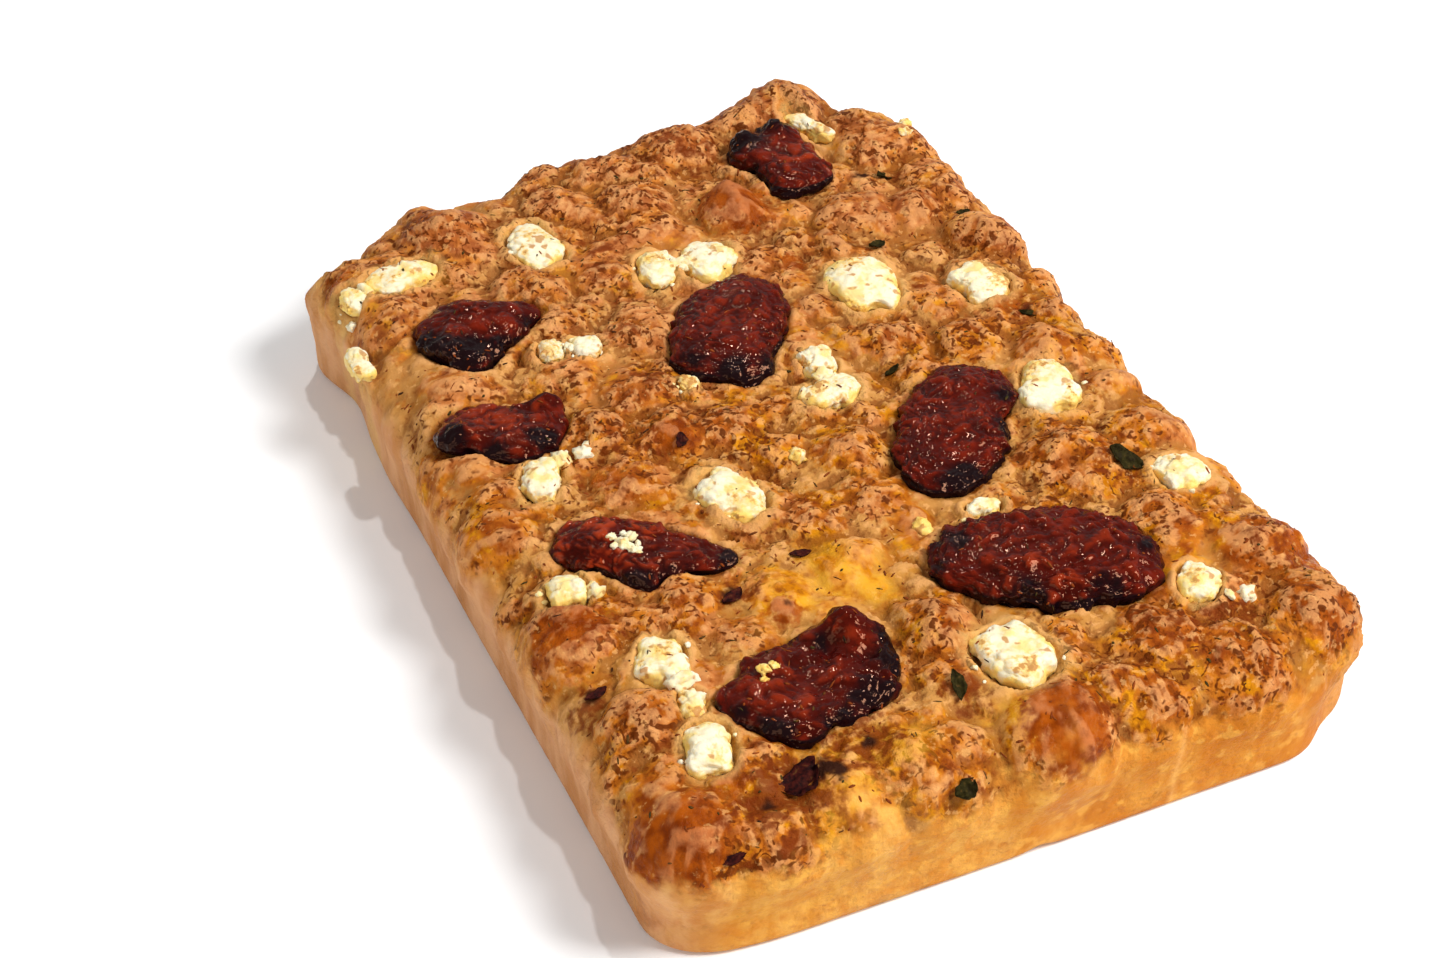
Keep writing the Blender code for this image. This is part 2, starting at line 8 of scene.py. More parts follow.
# %% Load the solids
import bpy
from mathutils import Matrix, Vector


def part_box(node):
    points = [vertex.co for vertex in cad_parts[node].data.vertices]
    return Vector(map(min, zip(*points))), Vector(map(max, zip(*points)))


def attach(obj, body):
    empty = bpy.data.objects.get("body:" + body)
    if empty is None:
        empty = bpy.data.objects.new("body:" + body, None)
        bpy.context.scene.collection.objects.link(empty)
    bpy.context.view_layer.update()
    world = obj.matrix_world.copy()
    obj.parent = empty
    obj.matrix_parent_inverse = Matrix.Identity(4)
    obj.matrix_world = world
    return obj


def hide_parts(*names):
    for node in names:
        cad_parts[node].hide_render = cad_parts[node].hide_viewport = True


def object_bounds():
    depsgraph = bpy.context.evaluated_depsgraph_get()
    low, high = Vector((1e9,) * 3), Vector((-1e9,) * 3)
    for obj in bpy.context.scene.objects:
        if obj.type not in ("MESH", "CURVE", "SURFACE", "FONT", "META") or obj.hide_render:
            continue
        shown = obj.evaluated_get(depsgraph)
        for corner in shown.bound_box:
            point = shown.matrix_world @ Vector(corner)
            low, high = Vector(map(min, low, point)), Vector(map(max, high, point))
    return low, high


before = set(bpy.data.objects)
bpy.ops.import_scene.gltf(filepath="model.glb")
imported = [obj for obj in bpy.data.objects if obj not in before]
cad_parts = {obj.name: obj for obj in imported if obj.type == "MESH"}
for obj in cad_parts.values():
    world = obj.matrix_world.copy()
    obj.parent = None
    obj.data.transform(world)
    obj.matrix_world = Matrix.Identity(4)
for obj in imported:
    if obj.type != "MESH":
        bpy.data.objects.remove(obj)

cad_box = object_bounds()
print("solids:", len(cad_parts), "and the box round them:", cad_box)

# %% [markdown]
# ## Where the eye stands
# The slab is seen from the left of its short front side and from well above. A camera can be
# turned by angles, but it is easier to check when it is built from three directions that are
# square to each other: to its right, up, and back from what it looks at. The long focal length
# keeps the far end of the slab nearly as wide as the near one.

# %% Camera
import math

import bmesh
import bpy
import numpy as np
from mathutils import Matrix, Vector, noise
from mathutils.bvhtree import BVHTree

VIEW_TURN = math.radians(-24.26)
VIEW_RISE = math.radians(40.11)
VIEW_DISTANCE = 0.6992
LOOK_AT = Vector((-0.0219, -0.0055, 0.0200))
SENSOR_WIDTH_MM = 36.0
LENS_LENGTH_MM = 65.0

back_from_slab = Vector((math.sin(VIEW_TURN) * math.cos(VIEW_RISE),
                         -math.cos(VIEW_TURN) * math.cos(VIEW_RISE),
                         math.sin(VIEW_RISE)))
to_the_right = Vector((math.cos(VIEW_TURN), math.sin(VIEW_TURN), 0.0))
upwards = back_from_slab.cross(to_the_right)

lens = bpy.data.cameras.new("view")
lens.sensor_width = SENSOR_WIDTH_MM
lens.lens = LENS_LENGTH_MM
camera = bpy.data.objects.new("view", lens)
bpy.context.scene.collection.objects.link(camera)
stand = Matrix((to_the_right, upwards, back_from_slab)).transposed().to_4x4()
stand.translation = LOOK_AT + back_from_slab * VIEW_DISTANCE
camera.matrix_world = stand
bpy.context.scene.camera = camera
print("camera stands at", [round(value, 3) for value in stand.translation])

# %% [markdown]
# ## The slab's sizes
# Baked dough fills its tin, so the plan is a rectangle, but each corner is rounded by another
# amount and the edge swells where a knob of dough pressed outwards. All of that is kept as named
# numbers and one table, so a corner can be changed without hunting through the code. A drawn
# curve would show the outline at once, but it is harder to correct by half a millimetre.

# %% Sizes of the slab
MM = 0.001
WIDTH = 0.193
LENGTH = 0.277
BED_HEIGHT = 0.0330
ROLL_RADIUS = 0.0136
FOOT_ROUNDING = 0.0022
BACK_LEFT_RADIUS = 0.042
BACK_RIGHT_RADIUS = 0.024
FRONT_LEFT_RADIUS = 0.019
FRONT_RIGHT_RADIUS = 0.026
HALF_WIDTH = WIDTH / 2
HALF_LENGTH = LENGTH / 2
WALL_HEIGHT = BED_HEIGHT - ROLL_RADIUS
QUARTER = math.pi / 2

# The slab's own middle, which the solids carry to the origin
MIDDLE = np.array([0.0002, 0.0037])

# Slow swells of the edge: x, y, how far along it, and how far out, in mm
SWELLS = (
    (-35, 138, 10, -5.0), (-56, 130, 9, 2.4), (-77, 130, 8, -5.0), (-92, 115, 9, 7.0),
    (-97, 92, 9, -2.0), (-96, 54, 10, 0.8), (-20, 138, 9, 2.8), (6, 138, 12, 4.0),
    (33, 138, 10, 3.2), (66, 136, 12, 3.4), (94, 117, 7, 1.8), (94, 92, 10, 3.2),
    (94, 76, 7, 2.0), (95, 62, 9, 5.2), (95, 43, 6, -2.0), (95, 30, 4, 2.6),
    (95, 21, 4, -1.4), (96, -4, 8, 2.0), (96, -17, 6, -2.8), (96, -38, 7, 2.8),
    (96, -53, 7, -2.2), (96, -74, 4, -1.0), (96, -88, 7, 3.8), (96, -109, 7, 3.2),
    (96, -122, 8, 2.4), (87, -133, 6, -2.2), (94, -50, 30, 1.2), (-60, -138, 30, -0.4),
    (-83, -137, 8, -1.6), (-94, -90, 40, -0.6),
)
print("slab:", WIDTH, "by", LENGTH, "by", BED_HEIGHT, "m, with", len(SWELLS), "swells")

# %% [markdown]
# ## Walking round the edge
# The crust will ask for the edge at thousands of places, so the outline is a function: it takes
# a point on the border of a square and gives the point of the slab's edge there, and the way
# that faces out of it. First the square is drawn out to the rectangle, then the corner's circle
# is found, and last the swells push the edge in or out.

# %% Edge of the slab
def ease(share):
    """0 below 0, 1 above 1, and a smooth rise between."""
    share = np.clip(share, 0.0, 1.0)
    return share * share * (3.0 - 2.0 * share)


def slab_edge(border_u, border_v):
    """Point of the slab's edge, and the way out there, for a border point of a unit square."""
    x = border_u * HALF_WIDTH
    y = border_v * HALF_LENGTH
    right = np.where(y > 0, BACK_RIGHT_RADIUS, FRONT_RIGHT_RADIUS)
    left = np.where(y > 0, BACK_LEFT_RADIUS, FRONT_LEFT_RADIUS)
    radius = np.where(x > 0, right, left)
    core = np.stack([np.clip(x, radius - HALF_WIDTH, HALF_WIDTH - radius),
                     np.clip(y, radius - HALF_LENGTH, HALF_LENGTH - radius)], axis=-1)
    out = np.stack([x, y], axis=-1) - core
    out /= np.linalg.norm(out, axis=-1, keepdims=True)
    point = core + out * radius[..., None]
    push = np.zeros_like(x)
    for swell_x, swell_y, reach, amount in SWELLS:
        far = (point[..., 0] - swell_x * MM) ** 2 + (point[..., 1] - swell_y * MM) ** 2
        push += amount * MM * np.exp(-far / (2 * (reach * MM) ** 2))
    return point + out * push[..., None], out


side_points, _ways = slab_edge(np.array([-1.0, 1.0]), np.array([0.0, 0.0]))
print("edge from side to side at the middle:", np.ptp(side_points[:, 0]).round(4), "m")

# %% [markdown]
# ## Where the tomato halves lie
# Eight roasted tomato halves were pressed into the dough before it was baked. Each has a place,
# a turn and an outline of its own, as a cook would note them: twelve radii, one for each five
# minutes of a clock face. They could be eight drawn curves, but rows of numbers are shorter, and
# the dough needs them as well, because it stays low under each half and closes in round it.

# %% Plan of the tomato halves
# x, y and level of the middle, turn, crown and keel heights, the outline's radius each 30 degrees
# round, and curled parts as dx, dy, reach and rise, in mm and degrees
TOMATOES = {
    "tomato_back": (48, 108, 37.0, 94, 4.4, 4.4,
                    (16, 17, 16, 10, 11, 17, 18, 17, 13, 11, 13, 18),
                    ((-6, 11, 5, 2.2), (4, 11, 5, 2.4))),
    "tomato_back_left": (-66, 65, 36.4, 13, 4.6, 4.2,
                         (20, 13, 12, 15, 16, 17, 16, 16, 18, 13, 11, 15),
                         ((4, 8, 8, 1.4), (-12, -6, 6, 0.8))),
    "tomato_left": (-73, 22, 35.8, 180, 4.4, 4.2,
                    (18, 12, 13, 14, 15, 16, 17, 14, 9, 10, 14, 18),
                    ((15, 5, 5, 2.8), (-14, 0, 5, 1.2))),
    "tomato_middle_back": (-1, 37, 36.4, 55, 5.0, 4.4,
                           (25, 20, 18, 16, 18, 23, 23, 24, 16, 15, 17, 23),
                           ((9, 12, 9, 1.0), (-12, -6, 7, 0.8))),
    "tomato_right": (36, -26, 36.2, 51, 5.0, 4.6,
                     (27, 22, 17, 16, 17, 23, 29, 23, 17, 14, 14, 24),
                     ((8, 14, 8, 1.2), (-8, -16, 7, -1.0))),
    "tomato_front_left": (-62, -36, 36.0, 149, 4.2, 4.0,
                          (20, 16, 10, 12, 15, 15, 27, 15, 12, 11, 13, 18),
                          ((-9, 5, 8, 1.0), (19, -10, 5, -1.2))),
    "tomato_front_right": (31, -82, 36.6, 163, 6.0, 4.6,
                           (30, 22, 18, 18, 20, 28, 29, 24, 20, 18, 20, 25),
                           ((-16, 4, 9, -0.8), (10, 4, 12, 0.8))),
    "tomato_front": (-41, -98, 36.4, 27, 4.6, 4.4,
                     (25, 20, 16, 17, 19, 24, 20, 20, 14, 16, 20, 21),
                     ((16, 13, 7, 4.6), (0, 2, 8, -1.8), (17, -5, 5, 1.6))),
}
print("tomato halves:", len(TOMATOES))

# %% [markdown]
# ## Where the cheese lies
# Twenty-five lumps of white cheese were crumbled over the dough. Most are blunt blocks, so a
# half size along and across and a turn say enough about each, and one shared number says how
# square their corners are. Placing them by a random scatter would be quicker, but these lumps
# are the ones that the eye knows the slab by, so each has its own row.

# %% Plan of the cheese
# x, y and level of the middle, half sizes along and across, turn, and crown, in mm and degrees
CHEESE = {
    "cheese_back_left": (-76, 98.5, 36.0, 11.0, 6.2, 14, 3.4),
    "cheese_back_left_end": (-91, 96, 34.6, 3.8, 5.4, 10, 2.8),
    "cheese_back": (-36, 97, 36.0, 7.0, 11.0, 12, 3.2),
    "cheese_left_rim": (-98.5, 70, 32.6, 3.2, 6.6, 4, 2.6),
    "cheese_by_tomato_a": (-50.0, 48.4, 36.0, 3.8, 4.6, 20, 3.2),
    "cheese_by_tomato_b": (-40.6, 46.6, 36.2, 4.9, 4.6, -6, 3.4),
    "cheese_middle_a": (-8.6, 72, 36.2, 5.8, 8.4, -12, 3.4),
    "cheese_middle_b": (6.2, 69.5, 36.4, 8.0, 9.0, -18, 3.8),
    "cheese_right_back": (42.4, 41, 36.2, 9.2, 12.0, 0, 4.2),
    "cheese_right_rim": (73, 28, 36.2, 7.6, 8.4, 8, 4.0),
    "cheese_centre_a": (15.0, 14.0, 36.0, 5.0, 6.0, 0, 3.4),
    "cheese_centre_b": (12, 0.8, 36.0, 8.0, 6.0, 4, 3.6),
    "cheese_right": (66.5, -22, 36.4, 8.0, 10.4, -22, 4.2),
    "cheese_left": (-72, -1.2, 35.8, 5.4, 8.4, -28, 3.8),
    "cheese_middle": (-30, -27, 36.0, 6.8, 11.0, 24, 3.8),
    "cheese_front_left": (-82, -44.5, 35.8, 5.6, 5.4, -20, 3.8),
    "cheese_front_a": (-70.4, -76, 36.0, 6.2, 7.8, -24, 3.8),
    "cheese_front_b": (-69.4, -92.0, 35.8, 3.6, 5.2, -6, 3.4),
    "cheese_front_corner": (-71.6, -107, 35.8, 6.2, 8.4, -16, 3.6),
    "cheese_front": (7.4, -109, 36.2, 9.6, 11.4, 16, 4.2),
    "cheese_front_right": (62.0, -104.4, 35.8, 5.6, 7.0, -34, 3.4),
    "cheese_right_edge": (80.6, -66, 36.0, 6.8, 6.4, 12, 3.2),
    "cheese_behind_tomato": (27, -57.8, 35.4, 5.4, 3.0, -8, 3.0),
    "cheese_yellow": (-21.6, 19.4, 35.8, 3.3, 3.6, 0, 3.0),
    "cheese_far_back": (63.6, 121, 37.2, 3.2, 8.6, 30, 3.2),
}
CHEESE_KEEL = 3.2
CHEESE_SQUARENESS = 2.7
print("lumps of cheese:", len(CHEESE))

# %% [markdown]
# ## Outlines of the toppings
# A tomato half needs a smooth closed line through its twelve radii, and a lump of cheese one
# that is nearly a rectangle. Both are written as a radius that depends on the angle. With that,
# any point of the dough can be told how far out it lies as a share of a topping's outline: below
# one it is under the topping, and above one beside it.

# %% Outlines of the toppings
def lobed_radius(angle, radii):
    """Radius of a closed outline at an angle, a smooth curve through evenly spaced radii."""
    count = len(radii)
    place = np.mod(angle / (2 * math.pi) * count, count)
    left = np.floor(place).astype(int) % count
    t = place - np.floor(place)
    values = np.asarray(radii, float)
    before, start = values[left - 1], values[left]
    end, after = values[(left + 1) % count], values[(left + 2) % count]
    slope_in = (end - before) / 2
    slope_out = (after - start) / 2
    return ((2 * t**3 - 3 * t**2 + 1) * start + (t**3 - 2 * t**2 + t) * slope_in
            + (3 * t**2 - 2 * t**3) * end + (t**3 - t**2) * slope_out)


def boxy_radius(angle, half_along, half_across):
    """Radius at an angle of a rectangle with very round corners."""
    along = np.abs(np.cos(angle) / half_along) ** CHEESE_SQUARENESS
    across = np.abs(np.sin(angle) / half_across) ** CHEESE_SQUARENESS
    return (along + across) ** (-1.0 / CHEESE_SQUARENESS)


def topping_shares(x, y):
    """For each topping: how far out points are as a share of its outline, its level, its keel."""
    for row_x, row_y, level, turn, _crown, keel, radii, _curls in TOMATOES.values():
        angle = np.arctan2(y - row_y * MM, x - row_x * MM) - math.radians(turn)
        far = np.hypot(x - row_x * MM, y - row_y * MM)
        yield far / (lobed_radius(angle, radii) * MM), level * MM, keel * MM
    for row_x, row_y, level, along, across, turn, _crown in CHEESE.values():
        angle = np.arctan2(y - row_y * MM, x - row_x * MM) - math.radians(turn)
        far = np.hypot(x - row_x * MM, y - row_y * MM)
        yield far / (boxy_radius(angle, along, across) * MM), level * MM, CHEESE_KEEL * MM


print("toppings:", len(TOMATOES), "tomato halves and", len(CHEESE), "lumps of cheese")
largest = max(max(row[6]) for row in TOMATOES.values())
print("largest radius of a tomato half:", largest, "mm")

# %% [markdown]
# ## Knobs of dough
# Fingers pushed dimples into the risen dough and the oven blew up what lay between them, so the
# top is a crowd of round knobs that meet in soft creases. Sculpting by hand would do it, but a
# list of knobs, each with a place, a reach and a rise, can be read and changed. They are blended
# with a high power, so that where two meet the higher one wins and a crease is left.

# %% Knobs
# x, y, reach and rise in mm
KNOBS = (
    (-86, 105, 13, 3.0), (-57, 113, 16, 5.0), (-61, 98, 11, 3.5), (-44, 79, 13, 4.0),
    (-85, 81, 11, 3.5), (-78, 43, 15, 4.5), (-101, 48, 9, 2.5), (-47, 37, 10, 3.0),
    (-22, 48, 14, 4.0), (-42, 62, 11, 3.0), (-21, 113, 13, 4.0), (-1, 106, 12, 4.5),
    (62, 137, 16, 9.0), (46, 137, 13, 6.2), (23, 131, 15, 5.0), (1, 126, 11, 3.5),
    (-4, 92, 13, 4.0), (24, 92, 11, 6.5), (78, 107, 14, 4.5), (57, 76, 14, 4.5),
    (44, 64, 9, 3.5), (24, 66, 9, 3.0), (-22, 78, 12, 3.5), (74, 70, 12, 4.5),
    (86, 49, 12, 6.0), (84, 10, 9, 3.5), (58, 26, 11, 3.5), (38, 16, 12, 4.0),
    (58, 6, 12, 4.0), (76, -6, 13, 4.5), (58, -50, 17, 5.0), (82, -46, 12, 3.5),
    (66, -83, 15, 4.5), (83, -97, 13, 5.0), (85, -122, 14, 5.0), (44, -116, 14, 4.0),
    (-86, -58, 15, 5.0), (-55, -57, 10, 3.5), (-49, -76, 11, 3.0), (-81, -92, 12, 5.0),
    (-98, -52, 11, 3.0), (-95, -101, 10, 3.0), (-6, -92, 13, 5.0), (-9, -107, 10, 3.0),
    (22, -106, 8, 3.0), (7, -133, 16, 5.5), (-29, -128, 12, 4.0), (-88, -127, 16, 5.0),
    (-68, -137, 13, 4.0), (-47, -133, 13, 3.5), (31, -131, 12, 3.5), (58, -130, 14, 4.0),
    (-34, 23, 13, 4.0), (-50, 12, 12, 4.0), (-34, 1, 12, 4.5), (-50, -13, 13, 3.5),
    (-100, 7, 13, 3.5), (-92, -14, 13, 4.0), (-19, -1, 12, 4.0), (6, -23, 12, 4.5),
    (4, -42, 12, 3.5), (-12, -42, 12, 3.0), (28, 22, 9, 3.0), (-15, -62, 11, 3.5),
    (-35, -66, 12, 3.5), (-92, 20, 9, 3.0), (-100, 82, 10, 2.5), (10, 118, 10, 3.0),
    (88, 104, 11, 3.5), (87, 84, 11, 3.5), (92, -66, 9, 2.5), (90, -10, 9, 2.5),
    (80, 117, 12, 4.0), (-21, 136, 10, 4.0),
)
print("knobs that the eye knows:", len(KNOBS))

# %% [markdown]
# ## Seats for the toppings
# Each topping sank about half-way into the dough. Right under it the dough is a level seat, the
# knobs beside it stay low, and where the dough closed in round it there is a low uneven collar.
# Pressing the toppings into a simulated dough would give this too, and take minutes; three soft
# steps that depend on how far out a point lies give it at once.

# %% Seats and collars
# Dough stays level round a topping, half-way up its side, and knobs beside it stay low
SEAT_LEVEL = 0.0020
SEAT_START = 0.92
SEAT_END = {"tomato": 1.10, "cheese": 1.08}
BESIDE_END = 1.55
BESIDE_RISE = {"tomato": 0.0040, "cheese": 0.0052}

# It also closed in round each topping as a low uneven collar
COLLAR_PLACE = 1.08
COLLAR_REACH = {"tomato": 0.16, "cheese": 0.42}
COLLAR_REACH_INWARDS = 0.10
COLLAR_RISE = {"tomato": 0.0012, "cheese": 0.0026}


def kind_of(count):
    """Kind of the topping that comes at this count in the list of both tables."""
    return "tomato" if count < len(TOMATOES) else "cheese"


def seat_at(x, y, end=None, kinds=("tomato", "cheese")):
    """1 under a topping, 0 away from all of them, and smooth between."""
    seat = np.zeros_like(x)
    for count, (share, _level, _keel) in enumerate(topping_shares(x, y)):
        if kind_of(count) in kinds:
            stop = end or SEAT_END[kind_of(count)]
            seat = np.maximum(seat, 1.0 - ease((share - SEAT_START) / (stop - SEAT_START)))
    return seat


def collar_at(x, y):
    """Height of the dough that closed in round each topping, in metres."""
    collar = np.zeros_like(x)
    for count, (share, _level, _keel) in enumerate(topping_shares(x, y)):
        reach = np.where(share > COLLAR_PLACE, COLLAR_REACH[kind_of(count)],
                         COLLAR_REACH_INWARDS)
        near = np.exp(-((share - COLLAR_PLACE) / reach) ** 2)
        collar = np.maximum(collar, COLLAR_RISE[kind_of(count)] * near)
    return collar


seats = seat_at(np.array([48.0, 0.0]) * MM, np.array([108.0, 0.0]) * MM)
print("seat under the half at the back and at the middle of the slab:", seats.round(2))

# %% [markdown]
# ## Small knobs between
# Between the knobs that stand out the dough is still uneven. Smaller knobs are set on a lattice
# that is shaken a little, wherever there is room for one, so they never line up and never pile
# up. A plain random scatter would leave bare places and crowds.

# %% All knobs together
FILL_PITCH = 0.0125
FILL_REACH = (0.0070, 0.0100)
FILL_RISE = (0.0012, 0.0030)
FILL_JITTER = 0.35
FILL_CLEARANCE = 0.72
FILL_SEED = 11
KNOB_BLEND = 4
KNOB_LIFT = 1.6
KNOB_ROUNDNESS = 0.85


def every_knob():
    """The main knobs, and smaller ones on a jittered lattice wherever there is room for them."""
    knobs = [tuple(value * MM for value in knob) for knob in KNOBS]
    rng = np.random.default_rng(FILL_SEED)
    rows = int(LENGTH / FILL_PITCH) + 1
    columns = int(WIDTH / FILL_PITCH) + 1
    for row in range(rows):
        for column in range(columns):
            shift = rng.uniform(-FILL_JITTER, FILL_JITTER, 2) * FILL_PITCH
            reach = rng.uniform(*FILL_REACH)
            rise = rng.uniform(*FILL_RISE)
            x = (column - (columns - 1) / 2 + 0.5 * (row % 2)) * FILL_PITCH + shift[0]
            y = (row - (rows - 1) / 2) * FILL_PITCH + shift[1]
            crowded = any(math.hypot(x - k[0], y - k[1]) < FILL_CLEARANCE * k[2] for k in knobs)
            covered = seat_at(np.array([x]), np.array([y]), end=1.25)[0] > 0.5
            if not crowded and not covered:
                knobs.append((x, y, reach, rise))
    return knobs


def knob_rise(x, y, knobs):
    """Height of the knobs over the bed of the slab, in metres."""
    total = np.zeros_like(x)
    for knob_x, knob_y, reach, rise in knobs:
        share = ((x - knob_x) ** 2 + (y - knob_y) ** 2) / reach ** 2
        dome = np.clip(1.0 - share, 0.0, 1.0) ** KNOB_ROUNDNESS
        total += (KNOB_LIFT * rise * dome) ** KNOB_BLEND
    return total ** (1.0 / KNOB_BLEND)


knobs = every_knob()
print("knobs of dough:", len(knobs))

# %% [markdown]
# ## Noise in millimetres
# Nearly all that is uneven here comes from noise: a smooth field of ups and downs. The hills of
# Blender's own noise lie about a metre apart, so a helper scales it to a size in millimetres and
# moves it by a seed. Folded at zero, noise turns into ridges, and pushing the points about by
# another noise first keeps the ridges from lining up. A cell pattern gives rounded crumbs.

# %% Noise
def noise_at(points, size_mm, seed):
    """Smooth noise between about -1 and 1, with features of about size_mm, at each point."""
    scale = 1000.0 / size_mm
    shift = Vector((seed * 7.31, seed * 3.17, seed * 5.73))
    return np.array([noise.noise(Vector(point) * scale + shift) for point in points])


def ridges(points, size_mm, seed):
    """Noise folded at zero: 1 along narrow ridges, and lower between them."""
    return 1.0 - 2.0 * np.abs(noise_at(points, size_mm, seed))


def warped(points, size_mm, amount_mm, seed):
    """The points pushed about by noise, so that what is built on them doesn't line up."""
    push = np.column_stack([noise_at(points, size_mm, seed + step) for step in range(3)])
    return points + push * amount_mm * MM


def crumbs_at(points, size_mm, seed):
    """Rounded crumbs of about size_mm: 1 at the middle of each and lower in the cracks between."""
    scale = 1000.0 / size_mm
    shift = Vector((seed * 5.1, seed * 2.9, seed * 6.7))
    nearest = [noise.voronoi(Vector(point) * scale + shift)[0] for point in points]
    return np.array([min(1.0, 1.8 * (second - first)) for first, second, *_rest in nearest])


sample = noise_at(np.array([[0.0, 0.0, 0.0], [0.01, 0.0, 0.0]]), 22.0, 5)
print("noise at the middle and 10 mm from it:", sample.round(2))

# %% [markdown]
# ## Blisters
# Here and there a bubble of gas lifted the skin into a blister. The ones that catch the eye are
# listed, and smaller ones are strewn with a fixed seed. Each is a low dome, and where two meet
# the higher one wins, as with real bubbles. They could be separate objects, but a blister is
# part of the skin, so it belongs in the skin's own height.

# %% Blisters
# Blisters that show: x, y, radius and height in mm
BLISTERS = (
    (24, 98, 3.0, 1.0), (25, 85, 2.4, 0.9), (-36, -71, 3.4, 1.1), (7, -134, 5.0, 1.0),
    (-8, -111, 3.0, 0.8), (-35, 0, 2.6, 1.0), (-52, -62, 2.4, 0.9), (64, -88, 3.2, 0.9),
    (22, -128, 2.6, 0.8), (-22, -124, 2.8, 0.8), (52, -46, 2.8, 0.7), (40, -124, 2.4, 0.7),
)
LOOSE_BLISTERS = 90
# Least and most radius and height of a small one, in mm
LOOSE_RADIUS = (1.1, 2.4)
LOOSE_HEIGHT = (0.3, 0.7)
BLISTER_SEED = 41


def every_blister():
    """The blisters that show, and small ones scattered over the whole top."""
    rng = np.random.default_rng(BLISTER_SEED)
    found = [tuple(value * MM for value in row) for row in BLISTERS]
    for _count in range(LOOSE_BLISTERS):
        found.append((rng.uniform(-HALF_WIDTH, HALF_WIDTH), rng.uniform(-HALF_LENGTH, HALF_LENGTH),
                      rng.uniform(*LOOSE_RADIUS) * MM, rng.uniform(*LOOSE_HEIGHT) * MM))
    return found


def blister_rise(x, y, blisters):
    """Height of the blisters, in metres, the highest one winning where two meet."""
    total = np.zeros_like(x)
    for blister_x, blister_y, radius, height in blisters:
        share = ((x - blister_x) ** 2 + (y - blister_y) ** 2) / radius ** 2
        total = np.maximum(total, height * np.clip(1.0 - share, 0.0, 1.0) ** 0.6)
    return total


blisters = every_blister()
print("blisters:", len(blisters))

# %% [markdown]
# ## Grain of the crust
# Close up, baked crust isn't smooth: it is pulled into ridges a few millimetres long, with
# crumbs and finer grain on them, and oil kept some places smooth. A bump map can hint at that,
# but the edge of the slab would stay smooth, so the grain will move the mesh itself.

# %% Grain
# Places that oil kept smooth: x, y, reach in mm and amount
SMOOTH_PATCHES = (
    (-30, -70, 17, 0.9), (-10, -68, 12, 0.8), (24, -48, 10, 0.7), (-86, -76, 14, 0.7),
    (20, 6, 10, 0.5), (-4, -124, 8, 0.9), (-80, 42, 12, 0.6), (-68, 90, 9, 0.5),
    (7, -134, 9, 0.7), (24, 94, 9, 0.6), (-54, 62, 8, 0.5), (34, -106, 9, 0.6),
    (-95, 60, 10, 0.6), (54, 40, 9, 0.6), (-55, -84, 8, 0.6), (-30, -122, 8, 0.4),
)
GRAIN_LIFT = 1.7 * MM
ROUGH_SIZE_MM = 22.0
RIDGE_SIZE_MM, SMALL_RIDGE_SIZE_MM = 8.5, 3.4
CRUST_CRUMB_SIZE_MM, FINE_SIZE_MM = 4.2, 2.0


def patches_at(x, y, patches):
    """How strongly a list of soft round patches is felt at each point."""
    total = np.zeros_like(x)
    for patch_x, patch_y, reach, amount in patches:
        far = (x - patch_x * MM) ** 2 + (y - patch_y * MM) ** 2
        total += amount * np.exp(-far / (reach * MM) ** 2)
    return total


def crust_grain(points):
    """Ridges and crumbs, from about -1 to 1, and how rough the crust is there, from 0 to 1."""
    moved = warped(points, 7.0, 2.6, 1)
    smooth = patches_at(points[:, 0], points[:, 1], SMOOTH_PATCHES)
    rough = ease(0.72 + 0.8 * noise_at(points, ROUGH_SIZE_MM, 5))
    rough = rough * (1.0 - 0.8 * np.clip(smooth, 0.0, 1.0))
    coarse = ridges(moved, RIDGE_SIZE_MM, 6)
    crumbs = crumbs_at(moved, CRUST_CRUMB_SIZE_MM, 7)
    middle = ridges(moved, SMALL_RIDGE_SIZE_MM, 9)
    fine = noise_at(points, FINE_SIZE_MM, 8)
    coarse_share = 0.55 * (0.5 + 0.5 * rough) * coarse
    fine_share = (0.34 * (crumbs - 0.35) + 0.40 * middle + 0.26 * fine) * (0.10 + 0.90 * rough)
    return coarse_share + fine_share, rough


print("places that oil kept smooth:", len(SMOOTH_PATCHES))

# %% [markdown]
# ## Rolling a grid over the rim
# The crust could be a plane with a displacement modifier, but its rim rolls over into a wall, and
# a plane can't. So two formulas give the smooth bed that the relief is raised on. One lays a
# square over the top and rolls it down over the rim, and the other stands the wall, whose foot
# turns in a little where the dough shrank from the tin.

# %% Bed and wall
RELIEF_END = 0.45


def bed_at(u, v):
    """Point of the smooth top, and its way out, for a point of the unit square."""
    ring = np.maximum(np.abs(u), np.abs(v))
    middle = ring < 1e-6
    safe_ring = np.where(middle, 1.0, ring)
    edge, out = slab_edge(np.where(middle, 1.0, u / safe_ring), v / safe_ring)
    half = np.array([HALF_WIDTH, HALF_LENGTH])
    unrolled = half + ROLL_RADIUS * (QUARTER - 1.0)
    run = (1.0 - ring)[:, None] * unrolled
    turn = np.minimum(run / ROLL_RADIUS, QUARTER)
    inset = np.where(run < ROLL_RADIUS * QUARTER, ROLL_RADIUS * (1.0 - np.cos(turn)),
                     run - ROLL_RADIUS * (QUARTER - 1.0))
    plan = edge * (1.0 - inset / half)
    lean = (out ** 2 * turn).sum(axis=1)
    height = WALL_HEIGHT + ROLL_RADIUS * np.sin(lean)
    way = np.column_stack([out * np.cos(lean)[:, None], np.sin(lean)])
    return np.column_stack([plan, height]), way


